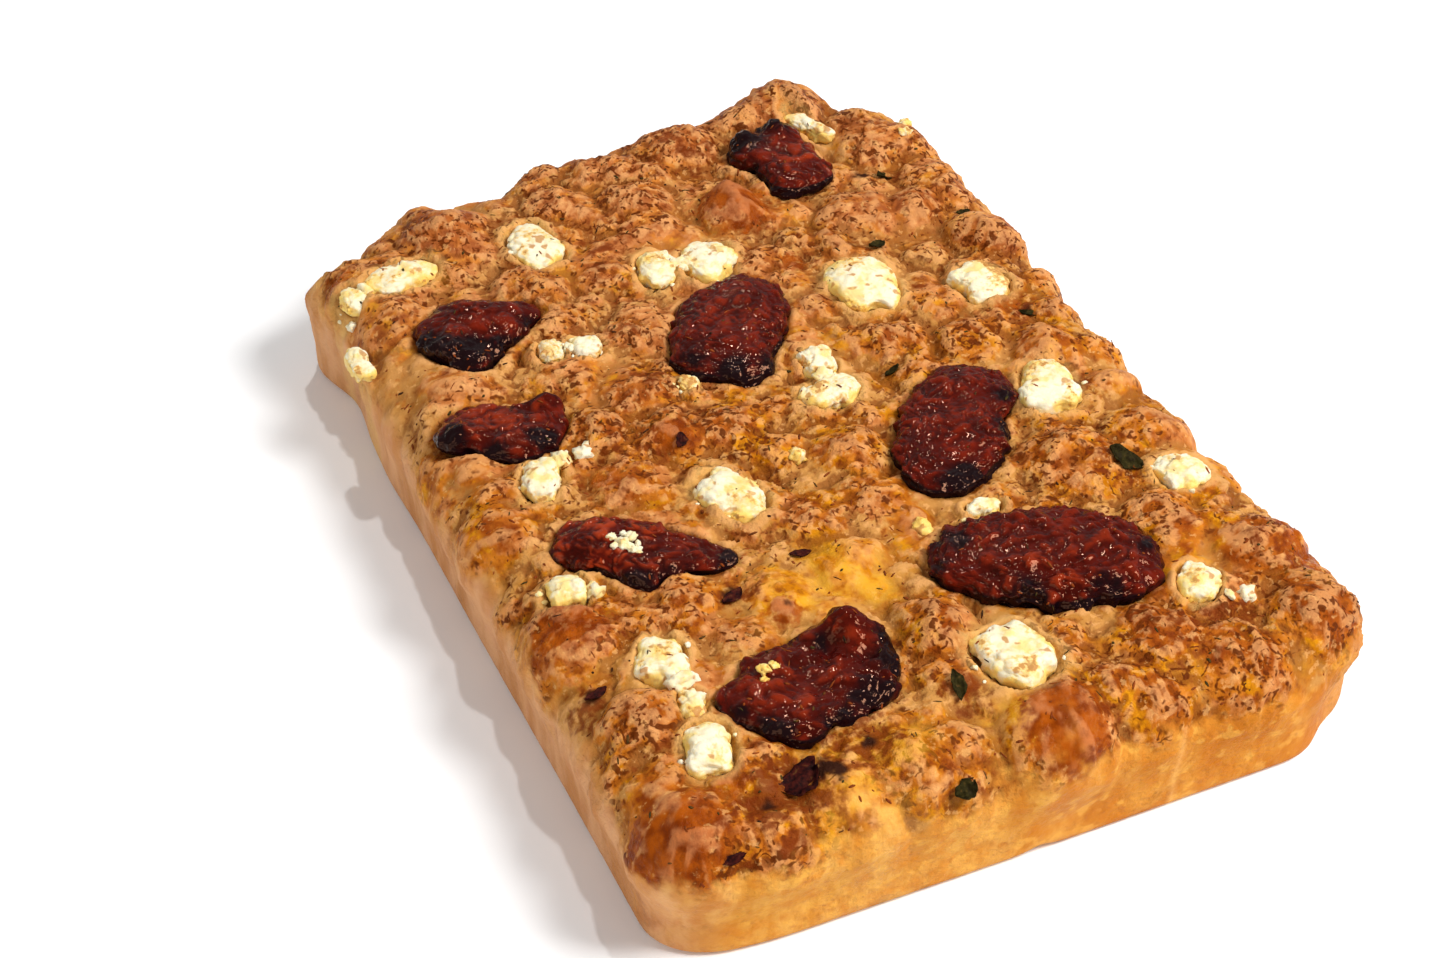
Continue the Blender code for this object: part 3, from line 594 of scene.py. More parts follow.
def wall_at(u, v, level):
    """Point of the wall, and its way out, at a height given as a share of the wall's."""
    edge, out = slab_edge(u, v)
    height = level * WALL_HEIGHT
    under = np.clip(1.0 - height / FOOT_ROUNDING, 0.0, 1.0)
    edge = edge - out * (FOOT_ROUNDING * (1.0 - np.sqrt(1.0 - under ** 2)))[:, None]
    return np.column_stack([edge, height]), np.column_stack([out, np.zeros(len(out))])


rim, rim_way = bed_at(np.array([1.0]), np.array([0.0]))
print("the bed meets the wall at", rim.round(4)[0], "and faces", rim_way.round(2)[0])

# %% [markdown]
# ## The crust as one mesh
# The mesh itself starts as a flat grid. Its border is drawn out fourteen times as the rows of
# the wall, and the last row is closed by the underside, so the crust is one skin without holes.
# About one millimetre between points is enough to carry the grain.

# %% Sheet of the crust
CELLS_ACROSS = 224
CELLS_ALONG = 322
WALL_ROWS = 14
ON_TOP = 2.0


def crust_sheet():
    """The grid with its wall rows and base, and each point's place on the unit square and level."""
    sheet = bmesh.new()
    bmesh.ops.create_grid(sheet, x_segments=CELLS_ACROSS, y_segments=CELLS_ALONG, size=1.0)
    levels = [ON_TOP] * len(sheet.verts)
    border = [edge for edge in sheet.edges if edge.is_boundary]
    for row in range(WALL_ROWS):
        drawn = bmesh.ops.extrude_edge_only(sheet, edges=border)["geom"]
        border = [item for item in drawn if isinstance(item, bmesh.types.BMEdge)]
        count = sum(isinstance(item, bmesh.types.BMVert) for item in drawn)
        levels += [1.0 - (row + 1) / WALL_ROWS] * count
    bmesh.ops.contextual_create(sheet, geom=border)
    mesh = bpy.data.meshes.new("crust")
    sheet.to_mesh(mesh)
    sheet.free()
    square = np.empty(len(mesh.vertices) * 3)
    mesh.vertices.foreach_get("co", square)
    return mesh, square.reshape(-1, 3)[:, :2], np.array(levels)


crust_mesh, square, levels = crust_sheet()
print("crust:", len(crust_mesh.vertices), "points,", len(crust_mesh.polygons), "faces")

# %% [markdown]
# ## Laying the sheet on the bed
# Every point of the sheet now gets its place on the smooth bed or the wall, and the way that
# faces out there. The relief dies away down the wall, which was held smooth by the tin. A few
# short helpers read and write all points of a mesh at once, which is far quicker in Blender than
# going through them one by one.

# %% Points on the bed
def points_of(mesh):
    """Places of all points of a mesh."""
    points = np.empty(len(mesh.vertices) * 3)
    mesh.vertices.foreach_get("co", points)
    return points.reshape(-1, 3)


def ways_of(mesh):
    """The way out at all points of a mesh."""
    ways = np.empty(len(mesh.vertices) * 3)
    mesh.vertices.foreach_get("normal", ways)
    return ways.reshape(-1, 3)


def put_points(mesh, points):
    """Moves all points of a mesh to new places."""
    mesh.vertices.foreach_set("co", points.ravel())
    mesh.update()


on_top = levels == ON_TOP
bed = np.empty((len(levels), 3))
way = np.empty((len(levels), 3))
bed[on_top], way[on_top] = bed_at(square[on_top, 0], square[on_top, 1])
bed[~on_top], way[~on_top] = wall_at(square[~on_top, 0], square[~on_top, 1], levels[~on_top])

lowest = RELIEF_END * WALL_HEIGHT
up_the_wall = ease((bed[:, 2] - lowest) / (BED_HEIGHT - lowest))
seat = seat_at(bed[:, 0], bed[:, 1])
print("points on the top:", on_top.sum(), "and on the wall:", (~on_top).sum())

# %% [markdown]
# ## Creases between knobs
# Where knobs meet, a formula leaves a crease as sharp as a fold in paper, and dough never is.
# So the heights are laid out as a grid and compared with a blurred copy of themselves: what
# stands over the blur is a crest, and what lies under it a crease. A part of it is taken away,
# and later the same measure paints cracks darker, partly as scorch and partly as painted shade,
# and crests paler, as a painted highlight.

# %% Crests and creases
def blurred(field, cells):
    """A grid of heights averaged over a square of cells on each side, done along and across."""
    for axis in (0, 1):
        edge = [(cells + 1, cells) if axis == side else (0, 0) for side in (0, 1)]
        total = np.cumsum(np.pad(field, edge, mode="edge"), axis=axis)
        count = 2 * cells + 1
        high = np.take(total, range(count, total.shape[axis]), axis=axis)
        low = np.take(total, range(0, total.shape[axis] - count), axis=axis)
        field = (high - low) / count
    return field


def crest_of(heights, reach_mm):
    """How far each point of the top stands over what lies round it, in metres."""
    order = np.lexsort((square[on_top, 0], square[on_top, 1]))
    field = heights[on_top][order].reshape(CELLS_ALONG + 1, CELLS_ACROSS + 1)
    cells = max(1, round(reach_mm * MM / (WIDTH / CELLS_ACROSS)))
    crest = np.zeros(len(heights))
    on_order = np.flatnonzero(on_top)[order]
    crest[on_order] = (field - blurred(blurred(field, cells), cells)).ravel()
    return crest


print("rows and columns of the grid of heights:", CELLS_ALONG + 1, CELLS_ACROSS + 1)

# %% [markdown]
# ## Height of the dough
# The knobs aren't perfect rounds, so away from the rim their places are pushed about a little
# and their heights are made uneven. Their creases are partly filled, and knobs by a topping
# stay low. This could be done with a brush in sculpt mode, but then it couldn't be repeated.

# %% Knobs, creases and collars
PUSH_SIZE_MM, PUSH_MM = 12.0, 3.6
KNOB_UNEVENNESS = 0.22
CREASE_REACH_MM = 4.0
CREASE_FILL = 0.18
HELD_LOW = 0.8

ring = np.where(on_top, np.abs(square).max(axis=1), 1.0)
inland = ease((0.95 - ring) / 0.10)
pushed = bed + (warped(bed, PUSH_SIZE_MM, PUSH_MM, 60) - bed) * inland[:, None]
rise = knob_rise(pushed[:, 0], pushed[:, 1], knobs)
rise *= 1.0 + KNOB_UNEVENNESS * noise_at(bed, 9.0, 64)
rise -= CREASE_FILL * crest_of(rise, CREASE_REACH_MM)
for kind, least in BESIDE_RISE.items():
    beside = seat_at(bed[:, 0], bed[:, 1], end=BESIDE_END, kinds=(kind,))
    rise -= HELD_LOW * beside * np.clip(rise - least, 0.0, None)
collar = collar_at(bed[:, 0], bed[:, 1]) * np.clip(0.60 + 1.1 * noise_at(bed, 6.0, 66), 0.0, 1.25)
dough = np.maximum(rise * (1.0 - seat) + SEAT_LEVEL * seat, SEAT_LEVEL + collar)
dough = np.where(collar > 0.1 * MM, dough, rise * (1.0 - seat) + SEAT_LEVEL * seat)
print("dough rises up to", (dough.max() / MM).round(2), "mm over the bed")

# %% [markdown]
# ## Raising the relief
# Each point of the crust moves out along its own way by the height of the dough, the blisters
# and the grain together. Moving it straight up instead would stretch the rim. The last few
# millimetres above the floor stay calm, so the slab still stands on a clean edge.

# %% Relief of the crust
LEAST_GRAIN = 0.12
GRAIN_MIDDLE = 0.08
CALM_FOOT = 3.0 * MM

grain, rough_share = crust_grain(bed)
bubbles = blister_rise(bed[:, 0], bed[:, 1], blisters) * (1.0 - seat)
grain_share = LEAST_GRAIN + (1.0 - LEAST_GRAIN) * up_the_wall * (1.0 - 0.5 * seat)
move = (dough + bubbles) * up_the_wall
move += GRAIN_LIFT * (grain - GRAIN_MIDDLE) * grain_share * np.clip(bed[:, 2] / CALM_FOOT, 0.0, 1.0)
crust_points = bed + way * move[:, None]
print("relief of", (move.min() / MM).round(2), "to", (move.max() / MM).round(2), "mm")

# %% [markdown]
# ## A notch and the pockets
# The foot of the front wall didn't quite touch the tin at one place, which left a small notch.
# Under each topping the dough has to lie lower than the topping's underside, or it would poke
# through, so a pocket is pressed in with a slight gap. A boolean cut could do that as well, but
# it breaks the even grid into slivers.

# %% Notch and pockets
NOTCH_X = 1.0 * MM
NOTCH_REACH = 3.5 * MM
NOTCH_RISE = 1.4 * MM
NOTCH_TOP = 6.0 * MM
POCKET_SHARE = {"tomato": 0.93, "cheese": 0.84}
POCKET_GAP = 0.4 * MM

near_notch = np.exp(-((bed[:, 0] - NOTCH_X) / NOTCH_REACH) ** 2) * np.clip(-way[:, 1], 0.0, 1.0)
low_down = np.clip(1.0 - bed[:, 2] / NOTCH_TOP, 0.0, 1.0)
crust_points[:, 2] += NOTCH_RISE * near_notch * low_down * ~on_top
for count, (share, level, keel) in enumerate(topping_shares(bed[:, 0], bed[:, 1])):
    inside = (share < POCKET_SHARE[kind_of(count)]) & on_top
    floor_level = level - keel * np.sqrt(1.0 - np.clip(share, 0.0, 1.0) ** 2) - POCKET_GAP
    crust_points[inside, 2] = np.minimum(crust_points[inside, 2], floor_level[inside])

crust_points[:, :2] -= MIDDLE
bread_low, bread_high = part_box("bread")
crust_points = np.clip(crust_points, np.array(bread_low), np.array(bread_high))
print("crust from", crust_points.min(axis=0).round(4), "to", crust_points.max(axis=0).round(4))

# %% [markdown]
# ## Closing the mesh
# The moved points go back into the mesh. Its underside is one big face with many corners, which
# is cut into triangles, and all faces are turned to face out. The same shape is also kept as a
# tree, a search structure that tells quickly where a falling crumb or leaf meets the crust.

# %% Finished mesh of the crust
crust_mesh.vertices.foreach_set("co", crust_points.ravel())
cutter = bmesh.new()
cutter.from_mesh(crust_mesh)
bmesh.ops.triangulate(cutter, faces=[face for face in cutter.faces if len(face.verts) > 4])
bmesh.ops.recalc_face_normals(cutter, faces=cutter.faces)
cutter.to_mesh(crust_mesh)
crust_tree = BVHTree.FromBMesh(cutter)
cutter.free()
crust_mesh.update()
print("crust:", len(crust_mesh.vertices), "points,", len(crust_mesh.polygons), "faces")

# %% [markdown]
# ## Showing a piece
# Every piece is shown in the same way: its points are kept inside the box round the solids, it
# is shaded smooth, gets its finish, rides on the slab, and stands for the solids it replaces.
# One helper does all of it, so no step is forgotten for any piece.

# %% Helper that shows a piece
def kept_in(points):
    """The points with none of them outside the box round the solids."""
    return np.clip(points, np.array(cad_box[0]), np.array(cad_box[1]))


def show_piece(name, mesh, *nodes_replaced, slot=None, finish):
    """Shows a finished mesh, riding on the slab and standing for the nodes it replaces."""
    put_points(mesh, kept_in(points_of(mesh)))
    mesh.shade_smooth()
    mesh.materials.append(finish)
    piece = bpy.data.objects.new(name, mesh)
    bpy.context.scene.collection.objects.link(piece)
    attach(piece, "root")
    if nodes_replaced:
        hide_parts(*nodes_replaced)


print("every piece stays inside", [[round(value, 4) for value in corner] for corner in cad_box])

# %% [markdown]
# ## Where the crust browned
# Colour on bread follows heat and oil. Knob tops are browned and hollows stay pale, some knobs
# baked to a glossy orange, and oil pooled in places. Such places are read off the slab and
# listed. Painting them on by hand would do it too, but a list can be corrected spot by spot.

# %% Browned, oiled and glazed places
# Browner or, with a minus, paler patches: x, y, reach in mm and amount
TOAST_PATCHES = (
    (24, 95, 12, 0.5), (-88, -127, 14, 0.5), (-86, -58, 12, 0.35), (-57, 113, 16, 0.3),
    (7, -133, 12, 0.35), (85, -118, 16, 0.35), (83, -97, 12, 0.3), (-34, 10, 18, 0.25),
    (74, 75, 18, 0.25), (44, -118, 14, 0.3), (20, 5, 12, -0.2), (-80, 40, 16, -0.25),
    (-20, -70, 16, -0.25), (-10, -122, 9, -0.3), (24, -50, 10, -0.3), (-84, -75, 10, -0.35),
    (36, -104, 10, -0.35), (-46, 68, 12, -0.15), (58, 40, 12, -0.2), (-96, 60, 10, -0.25),
    (44, -116, 12, 0.35), (64, -114, 12, 0.35), (84, -104, 10, 0.25), (61, -97, 10, 0.2),
    (25, 124, 9, 0.4), (-20, 86, 12, 0.3), (-73, 84, 9, 0.25), (-45, 55, 10, 0.25),
    (-29, 28, 10, 0.3), (76, 32, 8, 0.3), (2, -36, 10, -0.3), (15, 93, 8, -0.3),
)
# Patches of oil, in the same way
OIL_PATCHES = (
    (-30, -70, 16, 0.9), (-12, -66, 12, 0.8), (-48, -128, 14, 0.8), (-4, -124, 7, 1.0),
    (-30, -122, 10, 0.7), (8, -134, 9, 0.6), (-80, -58, 9, 0.5), (24, 96, 9, 0.9),
    (92, -110, 12, 0.5), (-68, 96, 8, 0.5), (-34, 4, 8, 0.5), (86, 118, 9, 0.6),
)
# Knobs that browned to a deep glossy orange: x, y, reach in mm and amount
GLAZED_KNOBS = (
    (7.6, -133.5, 10, 1.0), (25.8, 92.8, 10, 1.0), (-84, -58, 8, 0.7), (-88.7, -126.7, 9, 0.8),
    (-34.4, -1.1, 4.5, 1.0), (-36.1, -72.3, 4, 0.7), (92, -104, 8, 0.5), (-57, -8, 6, 0.5),
    (76, 20, 7, 0.5), (-72, -118, 7, 0.5), (30, 60, 5, 0.5), (-92, 104, 8, 0.4),
)
print("browner or paler patches:", len(TOAST_PATCHES), "and patches of oil:", len(OIL_PATCHES))

# %% [markdown]
# ## Where it burnt and stained
# Tomato juice ran out and stained the dough red-brown, scraps of leaf burnt black spots into
# it, and melted cheese left a creamy streak on the back left rim. These are small, and the eye
# goes to them at once, so each has a row of its own too.

# %% Burnt and stained places
# Burnt spots: x, y, reach in mm and amount
BURNT_SPOTS = (
    (68, 93, 4.0, 0.9), (-45, -60, 3.5, 0.8), (-88, -78, 4.0, 0.7), (-52, -122, 6.0, 0.8),
    (22, -66, 3.0, 0.6), (-10, -6, 3.5, 0.6), (-35, -71, 2.2, 0.7), (48, 60, 3.0, 0.6),
    (-21, -138, 4.0, 0.6), (91, 60, 4.0, 0.6), (80, 12, 4.0, 0.6), (-28, 8, 4.0, 0.5),
    (-66, -127, 3.0, 0.7), (-37, -119, 4.0, 0.7), (74, -22, 4.0, 0.6), (-48, -127, 3.0, 0.7),
)
# Dough stained red-brown: x, y, reach in mm and amount
STAINS = (
    (-57, -122, 11, 0.9), (-36, -119, 8, 0.8), (-68, -128, 7, 0.7), (74, -22, 6, 0.8),
    (-44, -61, 6, 0.7), (-9, -113, 7, 0.8), (-19, -139, 7, 0.7), (-90, -79, 6, 0.7),
    (66, -59, 6, 0.6), (75, 89, 7, 0.6), (14, -136, 8, 0.5), (46, -118, 9, 0.6), (79, 10, 6, 0.6),
    (64, -112, 9, 0.6), (84, -101, 6, 0.5), (25, 124, 8, 0.7), (76, 32, 6, 0.6), (57, 33, 5, 0.5),
    (2, 46, 6, 0.5), (-20, 88, 7, 0.5), (-28, 24, 8, 0.5), (-45, -3, 7, 0.6), (-70, 70, 5, 0.4),
)
CREAMY_STREAK = ((-43, -146, 9, 0.9), (-30, -147, 6, 0.5))
print("burnt spots:", len(BURNT_SPOTS), "and stains:", len(STAINS))

# %% [markdown]
# ## What the oven did where
# From these lists and from the relief itself, each point of the mesh gets a few numbers: how
# browned it is, how far down the wall, how torn, how oily. They are kept with the mesh under
# names that a finish can read. The other way would be to guess them again in the material,
# where the knobs and the toppings aren't known.

# %% Marks from the relief
CRACK_REACH_MM, CRACK_DEPTH = 1.6, 0.45 * MM
CREASE_WIDTH_MM, CREASE_DEPTH = 5.0, 1.6 * MM
SEAM_X = 37.0 * MM
SEAM_WIDTH = 0.9 * MM


def keep_mark(mesh, name, values):
    """Keeps one number for each point of a mesh, under a name that a finish can read."""
    layer = mesh.attributes.new(name, "FLOAT", "POINT")
    layer.data.foreach_set("value", np.asarray(values, np.float32))


slab_x, slab_y = bed[:, 0], bed[:, 1]
height_share = ease((rise * (1.0 - 0.6 * seat) / MM - 1.0) / 5.5)
browned = 0.10 + 0.7 * height_share + patches_at(slab_x, slab_y, TOAST_PATCHES)
browned_above = BED_HEIGHT * (0.68 + 0.14 * noise_at(bed, 22.0, 91) + 0.06 * noise_at(bed, 7.0, 92))
wall_share = 1.0 - ease((bed[:, 2] - browned_above) / (0.28 * BED_HEIGHT))
seam_share = np.exp(-((slab_x - SEAM_X) / SEAM_WIDTH) ** 2) * wall_share * (way[:, 1] < -0.5)
keep_mark(crust_mesh, "toast", np.clip(browned, 0.0, 1.2))
keep_mark(crust_mesh, "crack", np.clip(crest_of(move, CRACK_REACH_MM) / CRACK_DEPTH, -1.0, 1.0))
keep_mark(crust_mesh, "crease", np.clip(crest_of(move, CREASE_WIDTH_MM) / CREASE_DEPTH, -1.0, 1.0))
keep_mark(crust_mesh, "rough", rough_share)
keep_mark(crust_mesh, "wall", wall_share)
keep_mark(crust_mesh, "left_wall", np.clip(-way[:, 0], 0.0, 1.0) * wall_share)
keep_mark(crust_mesh, "right_wall", np.clip(way[:, 0], 0.0, 1.0) * wall_share)
keep_mark(crust_mesh, "seam", seam_share)
keep_mark(crust_mesh, "to_right", ease(slab_x / WIDTH + 0.5))
keep_mark(crust_mesh, "to_back", ease(slab_y / LENGTH + 0.5))
print("browned share of the crust:", (browned > 0.6).mean().round(2))

# %% [markdown]
# ## What ran onto the dough
# The rest of the marks come from the toppings and the lists: right by a tomato half the dough
# is darkened, partly by juice and partly as a painted contact shadow, melted cheese makes it
# creamy a little further out, and oil, glaze, stains and burns lie where they were listed. Each
# is cut off at one, where a place can't get any oilier.

# %% Marks from toppings and lists
# Right round a tomato half: partly juice, partly a painted contact shadow
juice_and_contact_shadow_share, creamy_share = np.zeros(len(bed)), np.zeros(len(bed))
for share, _level, keel in topping_shares(slab_x, slab_y):
    if keel == CHEESE_KEEL * MM:
        creamy_share = np.maximum(creamy_share, 1.0 - ease((share - 1.0) / 0.40))
    else:
        juice_and_contact_shadow_share = np.maximum(juice_and_contact_shadow_share, 1.0 - ease((share - 0.98) / 0.14))
creamy_share = np.maximum(creamy_share, patches_at(slab_x, slab_y, CREAMY_STREAK))


def listed_share(places):
    """How strongly the places of a list are felt at each point, from 0 to 1."""
    return np.clip(patches_at(slab_x, slab_y, places), 0.0, 1.0)


keep_mark(crust_mesh, "juice", juice_and_contact_shadow_share)
keep_mark(crust_mesh, "creamy", np.clip(creamy_share, 0.0, 1.0))
keep_mark(crust_mesh, "oil", listed_share(OIL_PATCHES))
keep_mark(crust_mesh, "glazed", listed_share(GLAZED_KNOBS) * (1.0 - 0.8 * wall_share))
keep_mark(crust_mesh, "burnt", listed_share(BURNT_SPOTS) * (1.0 - wall_share))
keep_mark(crust_mesh, "stain", listed_share(STAINS))
print("marks kept with the crust:", len(crust_mesh.attributes))

# %% [markdown]
# ## Building finishes
# A finish is a small network: textures and kept marks go in, colours are blended by them, and
# the result feeds the shader. Such networks are often wired by hand in the node editor, but the
# same few steps come back in every finish, so each gets a short helper here: a texture with
# grain of a size in millimetres, a mark read from the mesh, a soft threshold, and a blend.

# %% Helpers for finishes
class Finish:
    """A material and the steps that its colours are blended with."""

    def __init__(self, name):
        self.material = bpy.data.materials.new(name)
        self.material.use_nodes = True
        self.nodes = self.material.node_tree.nodes
        self.links = self.material.node_tree.links
        self.shader = self.nodes["Principled BSDF"]
        self.place = self.nodes.new("ShaderNodeTexCoord").outputs["Object"]

    def put(self, socket, value):
        """Sets a socket to a number or colour, or links what another step gives to it."""
        if isinstance(value, bpy.types.NodeSocket):
            self.links.new(value, socket)
        elif socket.type == "RGBA":
            socket.default_value = (*value, 1.0)
        else:
            socket.default_value = value

    def texture(self, size_mm, detail=3.0, roughness=0.55, distortion=0.0, stretch=None):
        """Smooth noise from 0 to 1, with grain of about size_mm."""
        node = self.nodes.new("ShaderNodeTexNoise")
        node.inputs["Scale"].default_value = 1000.0 / size_mm
        node.inputs["Detail"].default_value = detail
        node.inputs["Roughness"].default_value = roughness
        node.inputs["Distortion"].default_value = distortion
        place = self.place
        if stretch:
            mapping = self.nodes.new("ShaderNodeMapping")
            mapping.inputs["Scale"].default_value = stretch
            self.links.new(place, mapping.inputs["Vector"])
            place = mapping.outputs["Vector"]
        self.links.new(place, node.inputs["Vector"])
        return node.outputs[0]

    def mark(self, name):
        """A number that was kept with the mesh."""
        node = self.nodes.new("ShaderNodeAttribute")
        node.attribute_name = name
        return node.outputs["Fac"]

    def window(self, value, start, end, low=0.0, high=1.0):
        """low below start, high above end, and a smooth rise between."""
        node = self.nodes.new("ShaderNodeMapRange")
        node.interpolation_type = "SMOOTHSTEP"
        self.put(node.inputs["Value"], value)
        node.inputs["From Min"].default_value = start
        node.inputs["From Max"].default_value = end
        node.inputs["To Min"].default_value = low
        node.inputs["To Max"].default_value = high
        return node.outputs["Result"]

    def swing(self, value, amount):
        """A texture's ups and downs, as -amount to amount, to shake a threshold with."""
        return self.window(value, 0.3, 0.7, -amount, amount)

    def sum(self, first, second, operation="ADD"):
        """Two numbers added, or joined in another way."""
        node = self.nodes.new("ShaderNodeMath")
        node.operation = operation
        self.put(node.inputs[0], first)
        self.put(node.inputs[1], second)
        return node.outputs["Value"]

    def times(self, first, second):
        """Two numbers multiplied: where either is 0, so is the result."""
        return self.sum(first, second, "MULTIPLY")

    def blend(self, share, low, high):
        """A colour between low and high, by a share."""
        node = self.nodes.new("ShaderNodeMix")
        node.data_type = "RGBA"
        self.put(node.inputs[0], share)
        self.put(node.inputs[6], low)
        self.put(node.inputs[7], high)
        return node.outputs[2]

    def bump(self, height, depth_mm):
        """Tiny ups and downs that only the light sees."""
        node = self.nodes.new("ShaderNodeBump")
        node.inputs["Strength"].default_value = 1.0
        node.inputs["Distance"].default_value = depth_mm * MM
        self.put(node.inputs["Height"], height)
        return node.outputs["Normal"]

    def done(self, **sockets):
        """Feeds the shader, with each socket named as Blender names it."""
        for name, value in sockets.items():
            self.put(self.shader.inputs[name.replace("_", " ")], value)
        return self.material


print("steps of a finish:", [step for step in vars(Finish) if not step.startswith("_")])

# %% [markdown]
# ## Textures of the crust
# The whole crust shares a few textures, each a different size of mottling: broad clouds of three
# centimetres, patches of one, spots of half of that, and a fine grain. Giving every colour its
# own noise would look busy, while shared ones make the colours change together, as they do on
# real bread, where one hot spot darkens all that lies in it.

# %% Textures and marks of the crust
crust = Finish("baked_crust")
broad = crust.texture(30.0, detail=2.0)
mottle = crust.texture(12.0, detail=3.0)
patchy = crust.texture(4.8, detail=2.5, roughness=0.5)
fine = crust.texture(2.3, detail=3.0, roughness=0.55)
spotty = crust.window(patchy, 0.34, 0.66)
toast, crack, to_back = crust.mark("toast"), crust.mark("crack"), crust.mark("to_back")
torn_skin = crust.window(crust.mark("rough"), 0.0, 1.0, 0.25, 1.0)
print("steps so far:", len(crust.nodes))

# %% [markdown]
# ## Ground colour of the crust
# The order of the blends is the order of the oven: pale dough in the hollows, gold where it
# caught the heat, and brown on the highest knobs. The gold leans to pink or to yellow by a
# texture of its own, because even baking never gives one hue. The thresholds are shaken by the
# shared textures, or brown would follow the knobs like contour lines on a map.

# %% Ground colour
# Lighter and darker tone of each part, as linear red, green and blue
HOLLOW = ((0.50, 0.228, 0.056), (0.38, 0.148, 0.018))
GOLD = ((0.53, 0.164, 0.013), (0.35, 0.088, 0.004))
PINKISH = ((0.56, 0.208, 0.060), (0.39, 0.114, 0.022))
SALLOW = ((0.60, 0.230, 0.004), (0.42, 0.126, 0.001))
BROWN = ((0.38, 0.088, 0.006), (0.23, 0.040, 0.002))
PALE_BACK = (0.60, 0.285, 0.135)

warmth = crust.sum(crust.texture(8.0, detail=3.0, roughness=0.6), crust.swing(broad, 0.06))
warmth = crust.sum(warmth, crust.window(to_back, 0.4, 1.0, 0.0, 0.05))
hollow = crust.blend(crust.window(mottle, 0.38, 0.62), *HOLLOW)
gold = crust.blend(spotty, *GOLD)
gold = crust.blend(crust.window(warmth, 0.52, 0.60), gold, crust.blend(spotty, *PINKISH))
gold = crust.blend(crust.window(warmth, 0.46, 0.39), gold, crust.blend(spotty, *SALLOW))
uneven = crust.sum(crust.swing(patchy, 0.12), toast)
uneven = crust.sum(crust.swing(mottle, 0.26), uneven)
uneven = crust.sum(crust.swing(fine, 0.14), uneven)
colour = crust.blend(crust.window(uneven, 0.0, 0.32), hollow, gold)
colour = crust.blend(crust.window(uneven, 0.43, 1.02), colour, crust.blend(spotty, *BROWN))
in_crease = crust.window(crust.mark("crease"), -0.10, -0.8, 0.0, 0.6)
colour = crust.blend(in_crease, colour, hollow)
colour = crust.blend(crust.window(to_back, 0.35, 1.0, 0.0, 0.12), colour, PALE_BACK)
print("steps so far:", len(crust.nodes))

# %% [markdown]
# ## Cracks and torn strokes
# Where the skin of the dough tore, it browned in short curved strokes and specks. Small cracks
# are read from the mesh and painted darker, partly as scorched skin and partly as painted shade,
# and the crests between them get a painted highlight. Dark smudges, partly browned skin and
# partly painted shade, are strongest in the creases, and pale specks are painted highlights. The
# strokes come from a swirl: noise is near its middle value along thin curved lines, so a narrow
# threshold on both sides of that value draws a line, and a second noise breaks it up. A drawn
# picture of strokes would repeat and stretch on the rim.

# %% Cracks and strokes
# Dark cracks are partly scorch and partly painted shade; pale crests and pale specks are painted
# highlights
SCORCH_AND_CRACK_SHADE = (0.16, 0.030, 0.002)
CREST_HIGHLIGHT = (0.74, 0.37, 0.14)
STROKE = (0.10, 0.017, 0.001)
SMUDGE_AND_SHADE = (0.125, 0.022, 0.001)
SPECK = (0.11, 0.020, 0.002)
PALE_HIGHLIGHT_SPECK = (0.72, 0.36, 0.12)
# Size of the swirl and of its breaks in mm, width of a line, and how dark it gets
STROKES = ((5.4, 2.5, 0.10, 0.9), (3.6, 1.9, 0.09, 0.85))

# Cracks painted darker: partly scorched skin, partly painted shade in the small recesses
crack_scorch_and_shade = crust.times(crust.window(crack, -0.10, -0.75, 0.0, 0.7), torn_skin)
colour = crust.blend(crack_scorch_and_shade, colour, SCORCH_AND_CRACK_SHADE)
# Crests painted paler: a painted highlight
colour = crust.blend(crust.window(crack, 0.20, 0.9, 0.0, 0.45), colour, CREST_HIGHLIGHT)
torn = crust.times(torn_skin, crust.window(toast, 0.0, 0.7, 0.45, 1.0))
torn = crust.times(torn, crust.window(crust.texture(15.0, detail=2.0), 0.38, 0.54, 0.45, 1.0))
for size, breaks, width, depth in STROKES:
    swirl = crust.sum(crust.texture(size, detail=1.0, distortion=0.5), 0.5, "SUBTRACT")
    line = crust.window(crust.sum(swirl, 0.0, "ABSOLUTE"), width, 0.1 * width, 0.0, depth)
    broken = crust.window(crust.texture(breaks, detail=1.0), 0.47, 0.70)
    stroke = crust.times(crust.times(line, broken), torn)
    colour = crust.blend(crust.window(stroke, 0.04, 0.42, 0.0, 0.94), colour, STROKE)
# Dark smudges, partly browned skin and partly painted shade, strongest in the creases
smudge_and_shade = crust.texture(5.0, detail=4.0, roughness=0.65, distortion=0.5)
smudge_and_shade = crust.times(crust.window(smudge_and_shade, 0.54, 0.74), crust.window(crack, 0.5, -0.5, 0.25, 0.85))
smudge_and_shade = crust.times(smudge_and_shade, torn)
colour = crust.blend(crust.window(smudge_and_shade, 0.04, 0.36, 0.0, 0.92), colour, SMUDGE_AND_SHADE)
specks = crust.times(crust.window(fine, 0.60, 0.70, 0.0, 0.8), torn)
colour = crust.blend(specks, colour, SPECK)
# Pale specks: painted highlights
colour = crust.blend(crust.window(fine, 0.41, 0.32, 0.0, 0.5), colour, PALE_HIGHLIGHT_SPECK)
print("steps so far:", len(crust.nodes))

# %% [markdown]
# ## Glaze, oil and stains
# Some knobs baked to a deep glossy orange, with a painted highlight on their crests, oil pooled
# in yellow patches, and tomato juice left dark red-brown stains. Right round each tomato half the
# dough is darkened, partly by juice and partly as a painted contact shadow. All of them lie on
# top of the grain, so they are blended in after it, and none has a clean rim: each kept mark is
# shaken by a texture before it meets its threshold.

# %% Glaze, oil and stains
GLAZE = ((0.34, 0.066, 0.003), (0.17, 0.024, 0.001))
